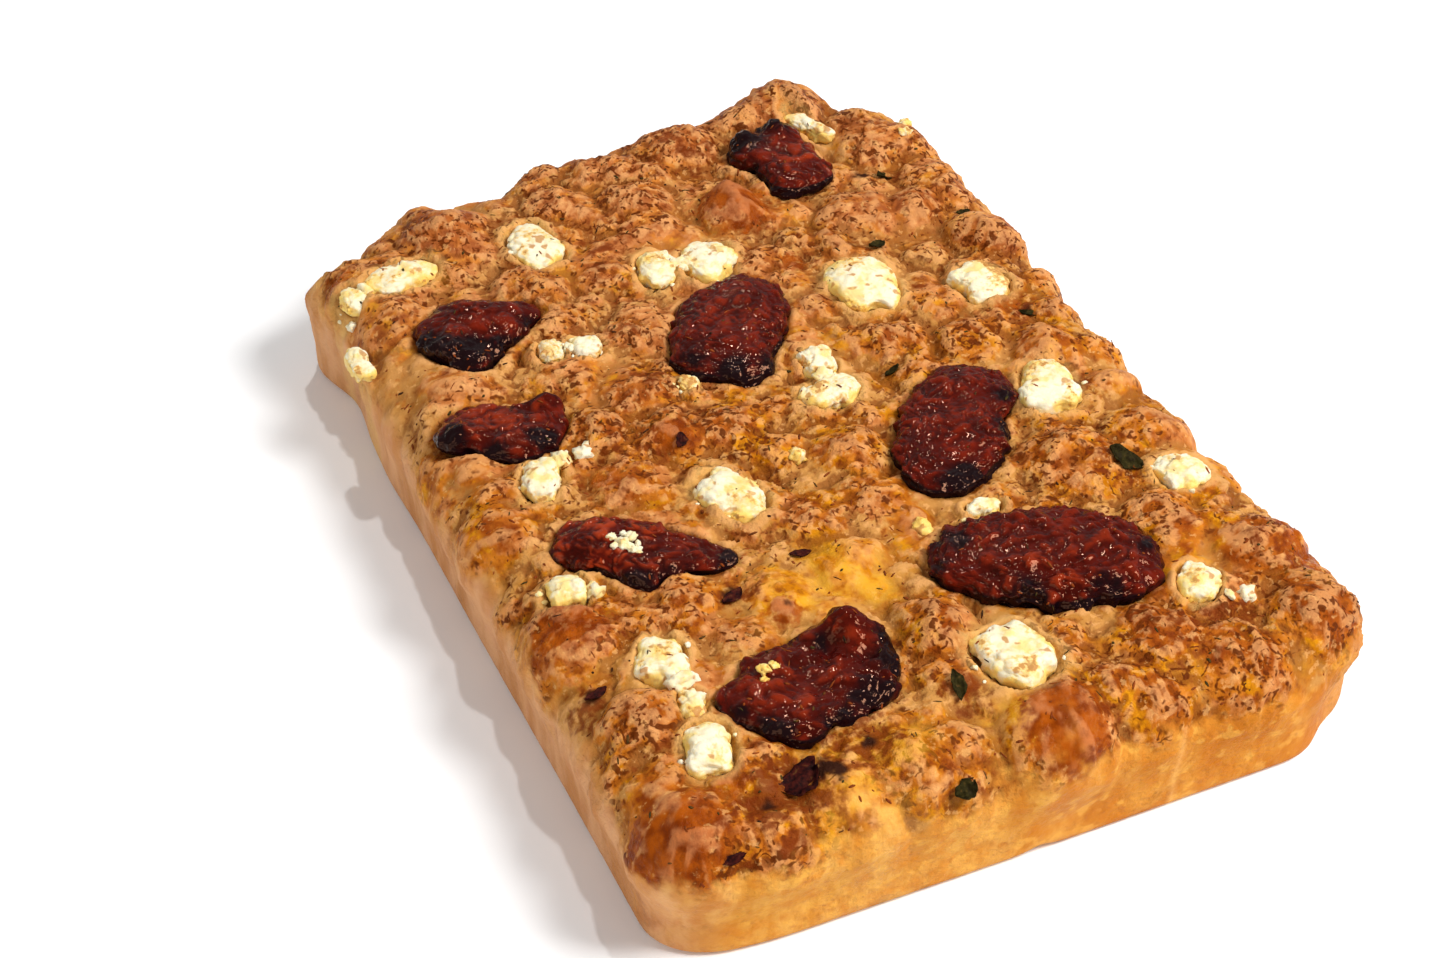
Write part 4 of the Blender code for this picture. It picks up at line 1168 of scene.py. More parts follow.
# Pale crest of a glazed knob: a painted highlight
GLAZE_CREST_HIGHLIGHT = (0.64, 0.24, 0.09)
OILED = ((0.80, 0.40, 0.028), (0.58, 0.205, 0.004))
# Darkening right round a tomato half, partly juice and partly a painted contact shadow
JUICE_AND_CONTACT_SHADOW = (0.14, 0.022, 0.002)
STAINED = (0.16, 0.026, 0.003)

glazed = crust.sum(crust.mark("glazed"), crust.swing(fine, 0.2))
glazed = crust.window(glazed, 0.05, 0.55, 0.0, 0.90)
glaze = crust.blend(spotty, *GLAZE)
# Crests of the glazed knobs painted paler: a painted highlight
glaze = crust.blend(crust.window(crack, 0.35, 1.0, 0.0, 0.35), glaze, GLAZE_CREST_HIGHLIGHT)
colour = crust.blend(glazed, colour, glaze)

oily = crust.times(crust.mark("oil"), crust.window(mottle, 0.35, 0.6, 0.35, 1.0))
oily = crust.times(oily, crust.window(glazed, 0.0, 0.85, 1.0, 0.0))
oiled = crust.blend(crust.window(patchy, 0.40, 0.60), *OILED)
colour = crust.blend(crust.window(oily, 0.1, 0.9, 0.0, 0.6), colour, oiled)

# Dough right round a tomato half darkened: partly juice, partly a painted contact shadow
juice_and_contact_shadow = crust.times(crust.mark("juice"), crust.window(mottle, 0.35, 0.6, 0.1, 0.7))
colour = crust.blend(juice_and_contact_shadow, colour, JUICE_AND_CONTACT_SHADOW)
stain = crust.sum(crust.mark("stain"), crust.swing(fine, 0.30))
stain = crust.window(crust.sum(stain, crust.swing(patchy, 0.35)), 0.25, 0.90, 0.0, 0.85)
colour = crust.blend(stain, colour, STAINED)
print("steps so far:", len(crust.nodes))

# %% [markdown]
# ## Colour of the walls
# The tin kept the walls from direct heat, so they are an even gold with faint upright streaks,
# paler to the left of the front and warmer to its right. The left wall, which faces away from the
# key light, gets a duller and pinker colour that is partly painted shade, and the right one, which
# isn't seen from the front, gets a calm gold between the two. A pale seam runs up the front. The
# border between wall and crust is shaken, or it would be a ruled line.

# %% Walls
PALE_SIDE = ((0.75, 0.385, 0.082), (0.62, 0.250, 0.032))
GOLD_SIDE = ((0.60, 0.225, 0.024), (0.48, 0.138, 0.009))
# Duller, pinker tone of the left wall, partly painted shade on the side away from the key light
SHADED_DULL_SIDE = ((0.62, 0.315, 0.175), (0.49, 0.212, 0.088))
CALM_SIDE = ((0.66, 0.310, 0.085), (0.54, 0.210, 0.042))
SIDE_BROWNER = (0.56, 0.170, 0.010)
SIDE_PALER = (0.80, 0.410, 0.075)
SIDE_SPECK = (0.42, 0.118, 0.012)
SEAM = (0.82, 0.44, 0.13)

streaks = crust.texture(9.0, detail=3.0, stretch=(1.0, 1.0, 0.35))
streaky = crust.window(streaks, 0.35, 0.65)
side = crust.blend(crust.mark("to_right"), crust.blend(streaky, *PALE_SIDE),
                   crust.blend(streaky, *GOLD_SIDE))
side = crust.blend(crust.window(patchy, 0.50, 0.66, 0.0, 0.5), side, SIDE_BROWNER)
side = crust.blend(crust.window(patchy, 0.46, 0.34, 0.0, 0.5), side, SIDE_PALER)
side = crust.blend(crust.window(fine, 0.55, 0.75, 0.0, 0.4), side, SIDE_SPECK)
side = crust.blend(crust.times(crust.mark("seam"), 0.5), side, SEAM)
# Left wall painted duller and pinker: partly painted shade away from the key light
side = crust.blend(crust.times(crust.mark("left_wall"), 0.78), side,
                   crust.blend(streaky, *SHADED_DULL_SIDE))
side = crust.blend(crust.times(crust.mark("right_wall"), 0.7), side,
                   crust.blend(streaky, *CALM_SIDE))
wall = crust.window(crust.sum(crust.mark("wall"), crust.swing(mottle, 0.35)), 0.25, 0.90)
colour = crust.blend(wall, colour, side)
print("steps so far:", len(crust.nodes))

# %% [markdown]
# ## Last touches and shine
# Melted cheese leaves a creamy rim, and burnt spots go over everything. Oil makes crust smoother
# as well as yellower, so the roughness follows the same marks as the colour. Grain finer than
# the mesh is left to a bump. Numbers that are the same all over, such as how strong the gloss
# is, are set on the shader itself.

# %% Baked crust
CREAMY = (0.68, 0.40, 0.12)
BURNT = (0.030, 0.008, 0.004)
DULL_CRUST, GLOSSY_CRUST = 0.55, 0.26

creamy = crust.times(crust.mark("creamy"), crust.window(fine, 0.3, 0.7, 0.2, 0.7))
colour = crust.blend(creamy, colour, CREAMY)
burnt = crust.window(crust.times(crust.mark("burnt"), patchy), 0.18, 0.42)
colour = crust.blend(burnt, colour, BURNT)

glossy = crust.sum(oily, crust.times(glazed, 0.8))
shine = crust.window(crust.sum(glossy, crust.swing(fine, 0.1)), 0.0, 0.8, DULL_CRUST, GLOSSY_CRUST)
tiny_grain = crust.times(crust.texture(2.5, detail=4.0, roughness=0.6), torn_skin)
baked_crust = crust.done(Base_Color=colour, Roughness=shine, Normal=crust.bump(tiny_grain, 1.3),
                         Specular_IOR_Level=0.06, Specular_Tint=(1.0, 0.72, 0.45))
show_piece("crust", crust_mesh, "bread", slot="crust", finish=baked_crust)
print("finish:", baked_crust.name, "with", len(crust.nodes), "steps")

# %% [markdown]
# ## How the tomato halves shrivelled
# A roasted half is a cushion of skin that lost its water, so the skin is drawn into wrinkles
# and the edge into short pleats, and a few large folds give each half its own face. How fine
# the wrinkles are differs from half to half. One shared wrinkle texture would make them twins,
# so each half has its own row of numbers.

# %% Wrinkles and folds
# Wrinkle size and depth, and pleat count and depth, in mm
SHRIVEL = {
    "tomato_back": (4.4, 1.4, 9, 0.6), "tomato_back_left": (4.8, 1.2, 8, 0.7),
    "tomato_left": (4.6, 1.3, 7, 0.7), "tomato_middle_back": (2.5, 1.3, 13, 0.6),
    "tomato_right": (2.4, 1.4, 12, 0.7), "tomato_front_left": (3.2, 1.4, 10, 0.6),
    "tomato_front_right": (3.3, 2.1, 15, 0.7), "tomato_front": (4.8, 1.7, 9, 0.9),
}

# Folds in the skin of each half: dx, dy, reach and rise in mm, with a minus for a hollow
FOLDS = {
    "tomato_back": ((-8, 11, 3.5, 1.4), (2, 13, 3.5, 1.4), (-3, 12, 2.5, -1.6), (0, -2, 5, -0.8)),
    "tomato_back_left": ((-12, -7, 5, 1.0), (-2, -8, 3, -1.2), (0, 5, 7, 0.8)),
    "tomato_left": ((-13, 0, 4, 1.2), (13, 7, 3.5, 1.6), (8, 2, 3, -1.4), (-2, 2, 5, -1.0)),
    "tomato_middle_back": ((2, 2, 6, -0.8), (-10, 4, 4, 0.6)),
    "tomato_right": ((4, 6, 6, -0.8), (-6, -8, 5, -0.6)),
    "tomato_front_left": ((12, -6, 4, -1.0), (-8, 2, 6, 0.6)),
    "tomato_front_right": ((-12, -4, 5, 0.8), (8, 5, 8, -0.8)),
    "tomato_front": ((15, 14, 5, 2.0), (8, 8, 3.5, -2.6), (2, 14, 3, -1.2), (-3, -3, 8, -1.0),
                     (20, 0, 3, 1.4), (15, 2, 3, -1.6)),
}
print("folds:", sum(len(folds) for folds in FOLDS.values()))

# %% [markdown]
# ## Burnt and clear parts of the tomatoes
# Heat comes from above and from the side, so an edge or a corner of a half burns black, while
# the thin skin on top stays a clear red. These are rows of soft round spots again. On top of
# them every half is darker low down, and more so at the front: partly burnt skin, and partly
# painted shade along its lower front edge and underside.

# %% Burnt and clear parts
# Burnt parts of each half: dx, dy, reach in mm and amount
CHAR = {
    "tomato_back": ((-9, 9, 8, 1.0), (3, 13, 7, 1.0), (-10, -2, 4, 0.7)),
    "tomato_back_left": ((-15, -5, 9, 1.0), (-6, -11, 8, 1.0), (4, -13, 7, 0.95), (15, -5, 6, 0.7)),
    "tomato_left": ((-16, -1, 6, 1.0), (-6, -10, 6, 0.9), (6, -10, 6, 0.9), (16, 6, 4, 0.6)),
    "tomato_middle_back": ((-8, -20, 7, 1.0), (-16, -10, 6, 0.8), (2, -20, 6, 0.7)),
    "tomato_right": ((-10, -22, 8, 1.0), (12, -10, 8, 0.8), (17, 4, 6, 0.7)),
    "tomato_front_left": ((-4, -14, 7, 1.0), (6, -14, 6, 0.9), (22, -14, 5, 0.9)),
    "tomato_front_right": ((-20, 12, 7, 0.8), (-12, -12, 8, 0.8), (6, -20, 8, 0.8),
                           (-26, 6, 5, 0.7), (24, -8, 6, 0.6)),
    "tomato_front": ((20, -3, 8, 1.0), (11, -11, 7, 1.0), (-1, -16, 7, 0.9), (-16, -12, 7, 0.9),
                     (24, 5, 6.5, 1.0), (7, 10, 3.5, 0.8), (-20, -3, 5, 0.55)),
}
# Parts where the skin stayed a clear red, in the same way
CLEAR_RED = {
    "tomato_back": ((4, -6, 9, 0.8),), "tomato_back_left": ((3, 4, 8, 0.15),),
    "tomato_left": ((-2, 0, 10, 1.0), (9, 4, 5, 0.5)), "tomato_middle_back": ((0, 4, 12, 0.3),),
    "tomato_right": ((0, 4, 12, 0.25),), "tomato_front_left": ((-6, 2, 17, 1.3),),
    "tomato_front_right": ((-6, -8, 11, 1.0), (14, -4, 10, 0.5)),
    "tomato_front": ((-4, -4, 12, 0.6), (10, 10, 5, 0.7)),
}


def spots_of(spots, plan_x, plan_y):
    """The strongest of a few soft round spots at each point."""
    strength = np.zeros_like(plan_x)
    for spot_x, spot_y, reach, amount in spots:
        far = ((plan_x - spot_x) ** 2 + (plan_y - spot_y) ** 2) / reach ** 2
        strength = np.maximum(strength, amount * np.exp(-far))
    return strength


print("burnt parts:", sum(len(spots) for spots in CHAR.values()))

# %% [markdown]
# ## Form of a tomato half
# The base is a ball of triangles, flattened and drawn out to the half's own outline. A grid
# would leave a pinched row of long triangles round the edge, and a ball made of nearly even
# triangles doesn't. The curled parts and the folds are soft hills and hollows added to its
# height.

# %% Cushion of a half
SKIN_FINENESS = 6
TOMATO_EDGE_FULLNESS = 0.75
TOMATO_CROWN_FLATNESS = 0.9
TOMATO_CURL_BELOW = 0.4


def ball(name, fineness):
    """A ball of nearly even triangles, as a mesh."""
    shape = bmesh.new()
    bmesh.ops.create_icosphere(shape, subdivisions=fineness, radius=1.0)
    mesh = bpy.data.meshes.new(name)
    shape.to_mesh(mesh)
    shape.free()
    return mesh


def seated(local, x, y, level):
    """Points in mm about a topping's own middle, as points of the slab in metres."""
    return local * MM + np.array([x, y, level]) * MM - np.array([*MIDDLE, 0.0])


def cushion(unit, name, seed):
    """Plan place, share of the height and points of a half's smooth skin, from a ball's points."""
    x, y, level, turn, crown, keel, radii, curls = TOMATOES[name]
    angle = np.arctan2(unit[:, 1], unit[:, 0])
    flat = np.hypot(unit[:, 0], unit[:, 1])
    wobble = 1.0 + 0.035 * noise_at(unit * 2.2 * MM, 1.0, seed)
    radius = lobed_radius(angle - math.radians(turn), radii) * flat ** TOMATO_EDGE_FULLNESS * wobble
    plan_x, plan_y = radius * np.cos(angle), radius * np.sin(angle)
    share = np.sign(unit[:, 2]) * np.abs(unit[:, 2]) ** TOMATO_CROWN_FLATNESS
    height = np.where(share > 0, crown, keel) * share
    for curl_x, curl_y, reach, lift in curls + FOLDS[name]:
        far = ((plan_x - curl_x) ** 2 + (plan_y - curl_y) ** 2) / reach ** 2
        height += np.where(share > -0.2, 1.0, TOMATO_CURL_BELOW) * lift * np.exp(-far)
    return plan_x, plan_y, share, seated(np.column_stack([plan_x, plan_y, height]), x, y, level)


print("a ball of fineness", SKIN_FINENESS, "has", 20 * 4 ** (SKIN_FINENESS - 1), "triangles")

# %% [markdown]
# ## Wrinkles of the skin
# Folded noise in three sizes gives long folds, wrinkles and creases between them, and a wave
# round the edge gives the pleats. They are laid along the skin's own outward direction, so they
# run over the curled parts as real skin does. Two more marks are kept for the finish: how burnt
# each point is, together with the painted shade low down, and how clear it is.

# %% Wrinkled skin
BURNT_CRISP = 0.30
# Sizes of long folds, wrinkles and creases, as shares of a half's wrinkle size, and their weights
FOLD_SIZE, WRINKLE_SIZE, CREASE_SIZE = 2.6, 1.3, 0.60
FOLD_WEIGHT, WRINKLE_WEIGHT, CREASE_WEIGHT = 0.26, 0.38, 0.36


def char_of(name, plan_x, plan_y, share):
    """Burning and painted shade low down and more at the front, and the half's own burnt parts."""
    far_out = np.hypot(plan_x, plan_y) + 1e-6
    to_front = np.clip((-0.95 * plan_y - 0.3 * plan_x) / far_out, 0.0, 1.0)
    # Darker low down and at the front: partly burning, partly painted shade
    under = (0.55 + 0.4 * to_front) * (1.0 - ease((share - 0.05 - 0.18 * to_front) / 0.34))
    return np.clip(np.maximum(under, spots_of(CHAR[name], plan_x, plan_y)), 0.0, 1.0)


def shrivelled_half(name, seed):
    """One roasted half, with marks for its wrinkles, its burning and shade, and its clear red."""
    wrinkle_size, wrinkle_depth, pleats, pleat_depth = SHRIVEL[name]
    mesh = ball(name + "_skin", SKIN_FINENESS)
    unit = points_of(mesh)
    plan_x, plan_y, share, points = cushion(unit, name, seed)
    put_points(mesh, points)

    moved = warped(points, 6.0, 2.6, seed + 10)
    folds = ridges(moved, wrinkle_size * FOLD_SIZE, seed + 20)
    wrinkles = 1.0 - ridges(moved, wrinkle_size * WRINKLE_SIZE, seed + 30)
    creases = 1.0 - ridges(moved, wrinkle_size * CREASE_SIZE, seed + 40)
    skin = FOLD_WEIGHT * folds + WRINKLE_WEIGHT * wrinkles + CREASE_WEIGHT * creases
    waves = np.arctan2(unit[:, 1], unit[:, 0]) * pleats + 4.0 * noise_at(points, 9.0, seed + 50)
    pleat = np.sin(waves) * np.hypot(unit[:, 0], unit[:, 1]) ** 6
    lift = wrinkle_depth * (skin - 0.50) + pleat_depth * pleat * np.clip(1.0 - share ** 2, 0, 1)
    char = char_of(name, plan_x, plan_y, share)
    lift += BURNT_CRISP * char * ridges(points, 2.0, seed + 60)
    put_points(mesh, kept_in(points + ways_of(mesh) * lift[:, None] * MM))
    keep_mark(mesh, "skin", skin)
    keep_mark(mesh, "char", char)
    keep_mark(mesh, "clear", spots_of(CLEAR_RED[name], plan_x, plan_y))
    return mesh


print("weights of folds, wrinkles and creases:", FOLD_WEIGHT, WRINKLE_WEIGHT, CREASE_WEIGHT)

# %% [markdown]
# ## Finish of the roasted skin
# Roasted skin is dark red-brown and oily, nearly black where it burnt and where shade is painted
# low down, and a clearer red where it is thin over a wrinkle. The oil film is smooth, so the
# roughness is low all over, and a coat on the shader would be the usual way to show it. Here the
# skin's own gloss is tinted warm and kept weak instead, because a clear coat made the dark skin
# look wet and grey.

# %% Roasted skin
SKIN = ((0.034, 0.0012, 0.0008), (0.072, 0.0036, 0.0016))
THIN_SKIN = (0.165, 0.0105, 0.0030)
DARK_GRAIN = (0.014, 0.0012, 0.0010)
CLEAR_SKIN = (0.30, 0.030, 0.006)
# Near black of burnt skin and of painted shade
CHARRED_AND_SHADED = (0.005, 0.0015, 0.003)


def roast_skin():
    skin = Finish("roasted_skin")
    clouds = skin.texture(7.0, detail=3.0)
    grain = skin.texture(1.4, detail=4.0, roughness=0.65)
    thin = skin.window(skin.mark("skin"), 0.35, 0.80)
    colour = skin.blend(skin.window(clouds, 0.35, 0.65), *SKIN)
    colour = skin.blend(skin.times(thin, 0.65), colour, THIN_SKIN)
    colour = skin.blend(skin.window(grain, 0.52, 0.70, 0.0, 0.7), colour, DARK_GRAIN)
    clear = skin.times(skin.mark("clear"), skin.window(clouds, 0.3, 0.7, 0.5, 1.1))
    colour = skin.blend(skin.times(clear, skin.times(thin, 0.8)), colour, CLEAR_SKIN)
    # Near black where burnt, and where shade is painted low down and at the front
    char = skin.window(skin.sum(skin.mark("char"), skin.swing(clouds, 0.2)), 0.30, 0.75)
    colour = skin.blend(char, colour, CHARRED_AND_SHADED)
    normal = skin.bump(skin.texture(2.0, detail=1.5, roughness=0.45), 0.6)
    return skin.done(Base_Color=colour, Roughness=skin.window(grain, 0.3, 0.7, 0.05, 0.16),
                     Normal=normal, Specular_IOR_Level=0.24, Specular_Tint=(1.0, 0.45, 0.25))


roasted_skin = roast_skin()
print("finish:", roasted_skin.name, "with", len(roasted_skin.node_tree.nodes), "steps")

# %% [markdown]
# ## The eight halves
# All halves share one form and one finish, and differ by their rows in the tables and by a
# seed, so one short loop makes them. Copying one mesh eight times would be lighter, but the eye
# finds twins on a plate at once.

# %% Tomato halves
tomato_meshes = {}
for count, name in enumerate(TOMATOES):
    mesh = shrivelled_half(name, 100 + count * 7)
    show_piece(name + "_skin", mesh, name, slot="tomato_skin", finish=roasted_skin)
    tomato_meshes[name] = mesh
print("tomato halves:", len(tomato_meshes), "of", len(mesh.polygons), "faces each")

# %% [markdown]
# ## Crumbly cheese
# White brined cheese breaks along no grain at all: a lump has blunt corners, small steps and
# pits, and crumbs cling to it. A ball pulled towards a box gives the lump, and slow noise makes
# each one lopsided. Cutting a block with random planes would give corners too, but they would
# be as sharp as those of a hard cheese.

# %% Form of a lump
CHEESE_FINENESS = 5
CHEESE_EDGE_FULLNESS = 0.75
CHEESE_CROWN_FLATNESS = 0.70


def lump_points(unit, name, seed):
    """Points of a lump's smooth form, from a ball's points."""
    x, y, level, half_along, half_across, turn, crown = CHEESE[name]
    angle = np.arctan2(unit[:, 1], unit[:, 0])
    flat = np.hypot(unit[:, 0], unit[:, 1])
    around = np.column_stack([np.cos(angle), np.sin(angle), 0.3 * unit[:, 2]]) * MM
    ragged = (0.98 + 0.34 * noise_at(around * 1.1, 1.0, seed)
              + 0.18 * noise_at(around * 2.6, 1.0, seed + 1))
    radius = (boxy_radius(angle, half_along, half_across) * flat ** CHEESE_EDGE_FULLNESS
              * np.clip(ragged, 0.66, 1.12))
    sides = np.sign(unit[:, 2]) * np.abs(unit[:, 2]) ** CHEESE_CROWN_FLATNESS
    lean = 1.0 + 0.22 * noise_at(unit * 0.9 * MM, 1.0, seed + 2)
    height = np.where(sides > 0, crown * np.clip(lean, 0.7, 1.1), CHEESE_KEEL) * sides
    way_round = angle + math.radians(turn)
    local = np.column_stack([radius * np.cos(way_round), radius * np.sin(way_round), height])
    return seated(local, x, y, level)


print("a lump has", 20 * 4 ** (CHEESE_FINENESS - 1), "triangles")

# %% [markdown]
# ## Breaking it into crumbs
# Its surface is broken by a cell pattern: each cell steps up or down by an amount of its own,
# as chunks do where the lump was pulled apart, with a crack between them, and smaller crumbs
# lie over that. A bump would not break the outline of a lump, and that broken outline is what
# says cheese at this size.

# %% Crumbly lump
CHUNK_SIZE_MM, CHUNK_STEP = 3.2, 0.80
CRUMB_SIZE_MM, CRUMB_RISE = 1.5, 0.16
CRACK_IN_CHEESE = 0.30
# Lumps that the oven toasted more than the rest, and how much
TOASTED_LUMPS = {"cheese_yellow": 0.55, "cheese_by_tomato_a": 0.22, "cheese_front_b": 0.18,
                 "cheese_front_right": 0.12, "cheese_far_back": 0.20, "cheese_right_back": 0.06}


def broken_at(points, size_mm, seed):
    """Chunks of about size_mm: a step from -1 to 1 for each, and 1 inside one to 0 in a crack."""
    scale = 1000.0 / size_mm
    shift = Vector((seed * 5.1, seed * 2.9, seed * 6.7))
    steps, inner = [], []
    for point in points:
        far, places = noise.voronoi(Vector(point) * scale + shift)
        steps.append(noise.noise(places[0] * 9.7))
        inner.append(min(1.0, 2.5 * (far[1] - far[0])))
    return np.array(steps), np.array(inner)


def crumbly_lump(name, seed):
    """The mesh of one lump, with marks for its cracks, its height and how toasted it is."""
    mesh = ball(name + "_lump", CHEESE_FINENESS)
    unit = points_of(mesh)
    points = lump_points(unit, name, seed)
    put_points(mesh, points)
    steps, inner = broken_at(warped(points, 3.0, 0.6, seed + 3), CHUNK_SIZE_MM, seed + 6)
    crumbs = crumbs_at(points, CRUMB_SIZE_MM, seed + 7)
    lift = CHUNK_STEP * steps + CRACK_IN_CHEESE * (inner - 0.8) + CRUMB_RISE * (crumbs - 0.6)
    put_points(mesh, kept_in(points + ways_of(mesh) * lift[:, None] * MM))
    keep_mark(mesh, "crumb", 0.5 * (inner + crumbs) - 0.5)
    keep_mark(mesh, "height", np.clip(unit[:, 2], -1.0, 1.0))
    keep_mark(mesh, "tint", noise_at(unit * MM, 0.8, seed + 12) + TOASTED_LUMPS.get(name, 0.0))
    return mesh


print("chunks of about", CHUNK_SIZE_MM, "mm and crumbs of about", CRUMB_SIZE_MM, "mm")

# %% [markdown]
# ## Finish of the cheese
# Fresh it would be plain white. The oven turned it cream, yellow at the edges where oil soaked
# in, brown in a few toasted dots and on some lumps all over. The cracks between its chunks are
# painted darker, as painted shade. Light enters such cheese and comes out softened, which a
# little subsurface scattering gives. Plain white would look like chalk.

# %% Toasted cheese
CREAM = ((0.79, 0.67, 0.38), (0.80, 0.73, 0.53))
OILY_YELLOW = (0.82, 0.54, 0.08)
TOASTED = (0.80, 0.46, 0.06)
TOASTED_BROWN = (0.40, 0.14, 0.02)
TOASTED_DOT = (0.46, 0.19, 0.03)
# Darker, yellower colour of the cheese's cracks: painted shade
CHEESE_CRACK_SHADE = (0.76, 0.52, 0.17)


def toast_cheese():
    cheese = Finish("toasted_cheese")
    clouds = cheese.texture(6.0, detail=3.0)
    grain = cheese.texture(1.6, detail=4.0)
    tint = cheese.mark("tint")
    colour = cheese.blend(cheese.window(clouds, 0.35, 0.65), *CREAM)
    low = cheese.times(cheese.window(cheese.mark("height"), 0.70, 0.10), 0.6)
    yellow = cheese.sum(low, cheese.window(clouds, 0.35, 0.65, 0.55, -0.2))
    colour = cheese.blend(cheese.times(cheese.window(yellow, 0.2, 0.8), 0.85), colour, OILY_YELLOW)
    toasted = cheese.window(cheese.sum(tint, cheese.swing(grain, 0.3)), 0.08, 0.62, 0.0, 0.8)
    colour = cheese.blend(toasted, colour, TOASTED)
    brown = cheese.window(cheese.sum(tint, cheese.swing(grain, 0.4)), 0.50, 0.74, 0.0, 0.75)
    colour = cheese.blend(brown, colour, TOASTED_BROWN)
    dots = cheese.window(cheese.texture(3.4, detail=1.0), 0.63, 0.70, 0.0, 0.85)
    colour = cheese.blend(dots, colour, TOASTED_DOT)
    # Cracks painted darker and yellower: painted shade
    cheese_crack_shade = cheese.window(cheese.mark("crumb"), -0.15, -0.5, 0.0, 0.6)
    colour = cheese.blend(cheese_crack_shade, colour, CHEESE_CRACK_SHADE)
    normal = cheese.bump(cheese.texture(0.8, detail=4.0, roughness=0.7), 0.2)
    return cheese.done(Base_Color=colour, Roughness=cheese.window(grain, 0.3, 0.7, 0.48, 0.68),
                       Normal=normal, Subsurface_Weight=0.15, Subsurface_Radius=(1.0, 0.7, 0.35),
                       Subsurface_Scale=0.0012)


toasted_cheese = toast_cheese()
cheese_meshes = {}
for count, name in enumerate(CHEESE):
    lump = crumbly_lump(name, 300 + count * 5)
    show_piece(name + "_lump", lump, name, slot="cheese_white", finish=toasted_cheese)
    cheese_meshes[name] = lump
print("lumps of cheese:", len(CHEESE), "of", len(lump.polygons), "faces each")

# %% [markdown]
# ## Where a falling thing lands
# Herb, leaves and crumbs were strewn from above, so each is let fall here as well: a ray goes
# straight down and tells where it meets the food and how that place slopes. Rays are quick once
# the meshes are joined into one tree. Letting the pieces drop in a physics run would pack them
# more truly, but slivers this thin fall through the surface.

# %% Falling straight down
STRAIGHT_DOWN = Vector((0.0, 0.0, -1.0))
STRAIGHT_UP = Vector((0.0, 0.0, 1.0))


def tree_of(meshes):
    """Meshes joined as one tree to drop rays on."""
    points, faces = [], []
    for mesh in meshes:
        start = len(points)
        points += [vertex.co.copy() for vertex in mesh.vertices]
        faces += [[start + index for index in face.vertices] for face in mesh.polygons]
    return BVHTree.FromPolygons(points, faces)


def landing(tree, x, y):
    """Where a thing that falls at x and y of the slab, in metres, comes to lie, and the way up."""
    place, way_up, _face, _far = tree.ray_cast(Vector((x - MIDDLE[0], y - MIDDLE[1], LENGTH)),
                                               STRAIGHT_DOWN)
    return place, way_up


def leaning(way_up):
    """A turn that lays a flat thing on a slope."""
    return STRAIGHT_UP.rotation_difference(way_up).to_matrix().to_4x4()


whole_tree = tree_of([crust_mesh, *tomato_meshes.values(), *cheese_meshes.values()])
print("a thing falls at the slab's middle to", landing(whole_tree, 0.0, 0.0)[0])

# %% [markdown]
# ## Dried herb
# Dried herb was strewn over the oiled dough, and the oven turned it brown and black. A particle
# system could scatter it, but what it makes isn't a mesh until it is rendered. Here each fleck is
# a small bent sliver laid on the crust, turned to lie along the slope, and all of them are joined
# into one mesh. Slow noise crowds them in some places, and fewer stay on the toppings.

# %% Herb flecks
HERB_COUNT = 1400
HERB_SEED = 77
HERB_LENGTH = (0.35, 1.5)
HERB_WIDTH = (0.13, 0.42)
HERB_HALF_THICK = 0.14 * MM
HERB_LIFT = 0.03 * MM
HERB_CROWD_SIZE_MM = 22.0
HERB_ON_TOPPINGS = 0.50
STEEPEST = 0.25


def sliver(shape, place, way_up, turn, half_length, half_width, bend):
    """Adds one bent sliver to a shape, lying on a slope."""
    made = bmesh.ops.create_icosphere(shape, subdivisions=1, radius=1.0)["verts"]
    for vertex in made:
        vertex.co.z -= bend * vertex.co.x ** 2
    size = Matrix.Diagonal((half_length, half_width, HERB_HALF_THICK, 1.0))
    spin = Matrix.Rotation(turn, 4, "Z")
    put_down = Matrix.Translation(place) @ leaning(way_up) @ spin @ size
    bmesh.ops.transform(shape, matrix=put_down, verts=made)


def strew_herbs():
    """The mesh of all flecks, strewn with a fixed seed."""
    rng = np.random.default_rng(HERB_SEED)
    shape = bmesh.new()
    laid = 0
    while laid < HERB_COUNT:
        x = rng.uniform(-HALF_WIDTH, HALF_WIDTH)
        y = rng.uniform(-HALF_LENGTH, HALF_LENGTH)
        length = (HERB_LENGTH[0] + np.ptp(HERB_LENGTH) * rng.uniform() ** 1.8) * MM
        width = min(rng.uniform(*HERB_WIDTH) * MM, 0.7 * length)
        turn, bend = rng.uniform(0.0, math.pi), rng.uniform(-0.4, 0.9)
        keep = rng.uniform()
        crowd = 0.5 + 0.9 * noise.noise(Vector((x, y, 0.0)) * 1000.0 / HERB_CROWD_SIZE_MM)
        if seat_at(np.array([x]), np.array([y]), end=1.05)[0] > 0.1:
            crowd *= HERB_ON_TOPPINGS
        if keep > crowd:
            continue
        place, way_up = landing(whole_tree, x, y)
        if place is None or way_up.z < STEEPEST:
            continue
        sliver(shape, place + way_up * HERB_LIFT, way_up, turn, length, width, bend)
        laid += 1
    mesh = bpy.data.meshes.new("herb_flecks")
    shape.to_mesh(mesh)
    shape.free()
    return mesh


herb_mesh = strew_herbs()
print("herb flecks:", HERB_COUNT, "with", len(herb_mesh.polygons), "faces")

# %% [markdown]
# ## Finish of the herb
# No two flecks of dried herb have the same colour: most are brown, some are a dark green and a
# few are black. Each fleck is an island of the joined mesh, and Blender can give every island a
# random number, so a single finish colours them all one by one. Fourteen hundred materials
# would do the same and be no better for it.

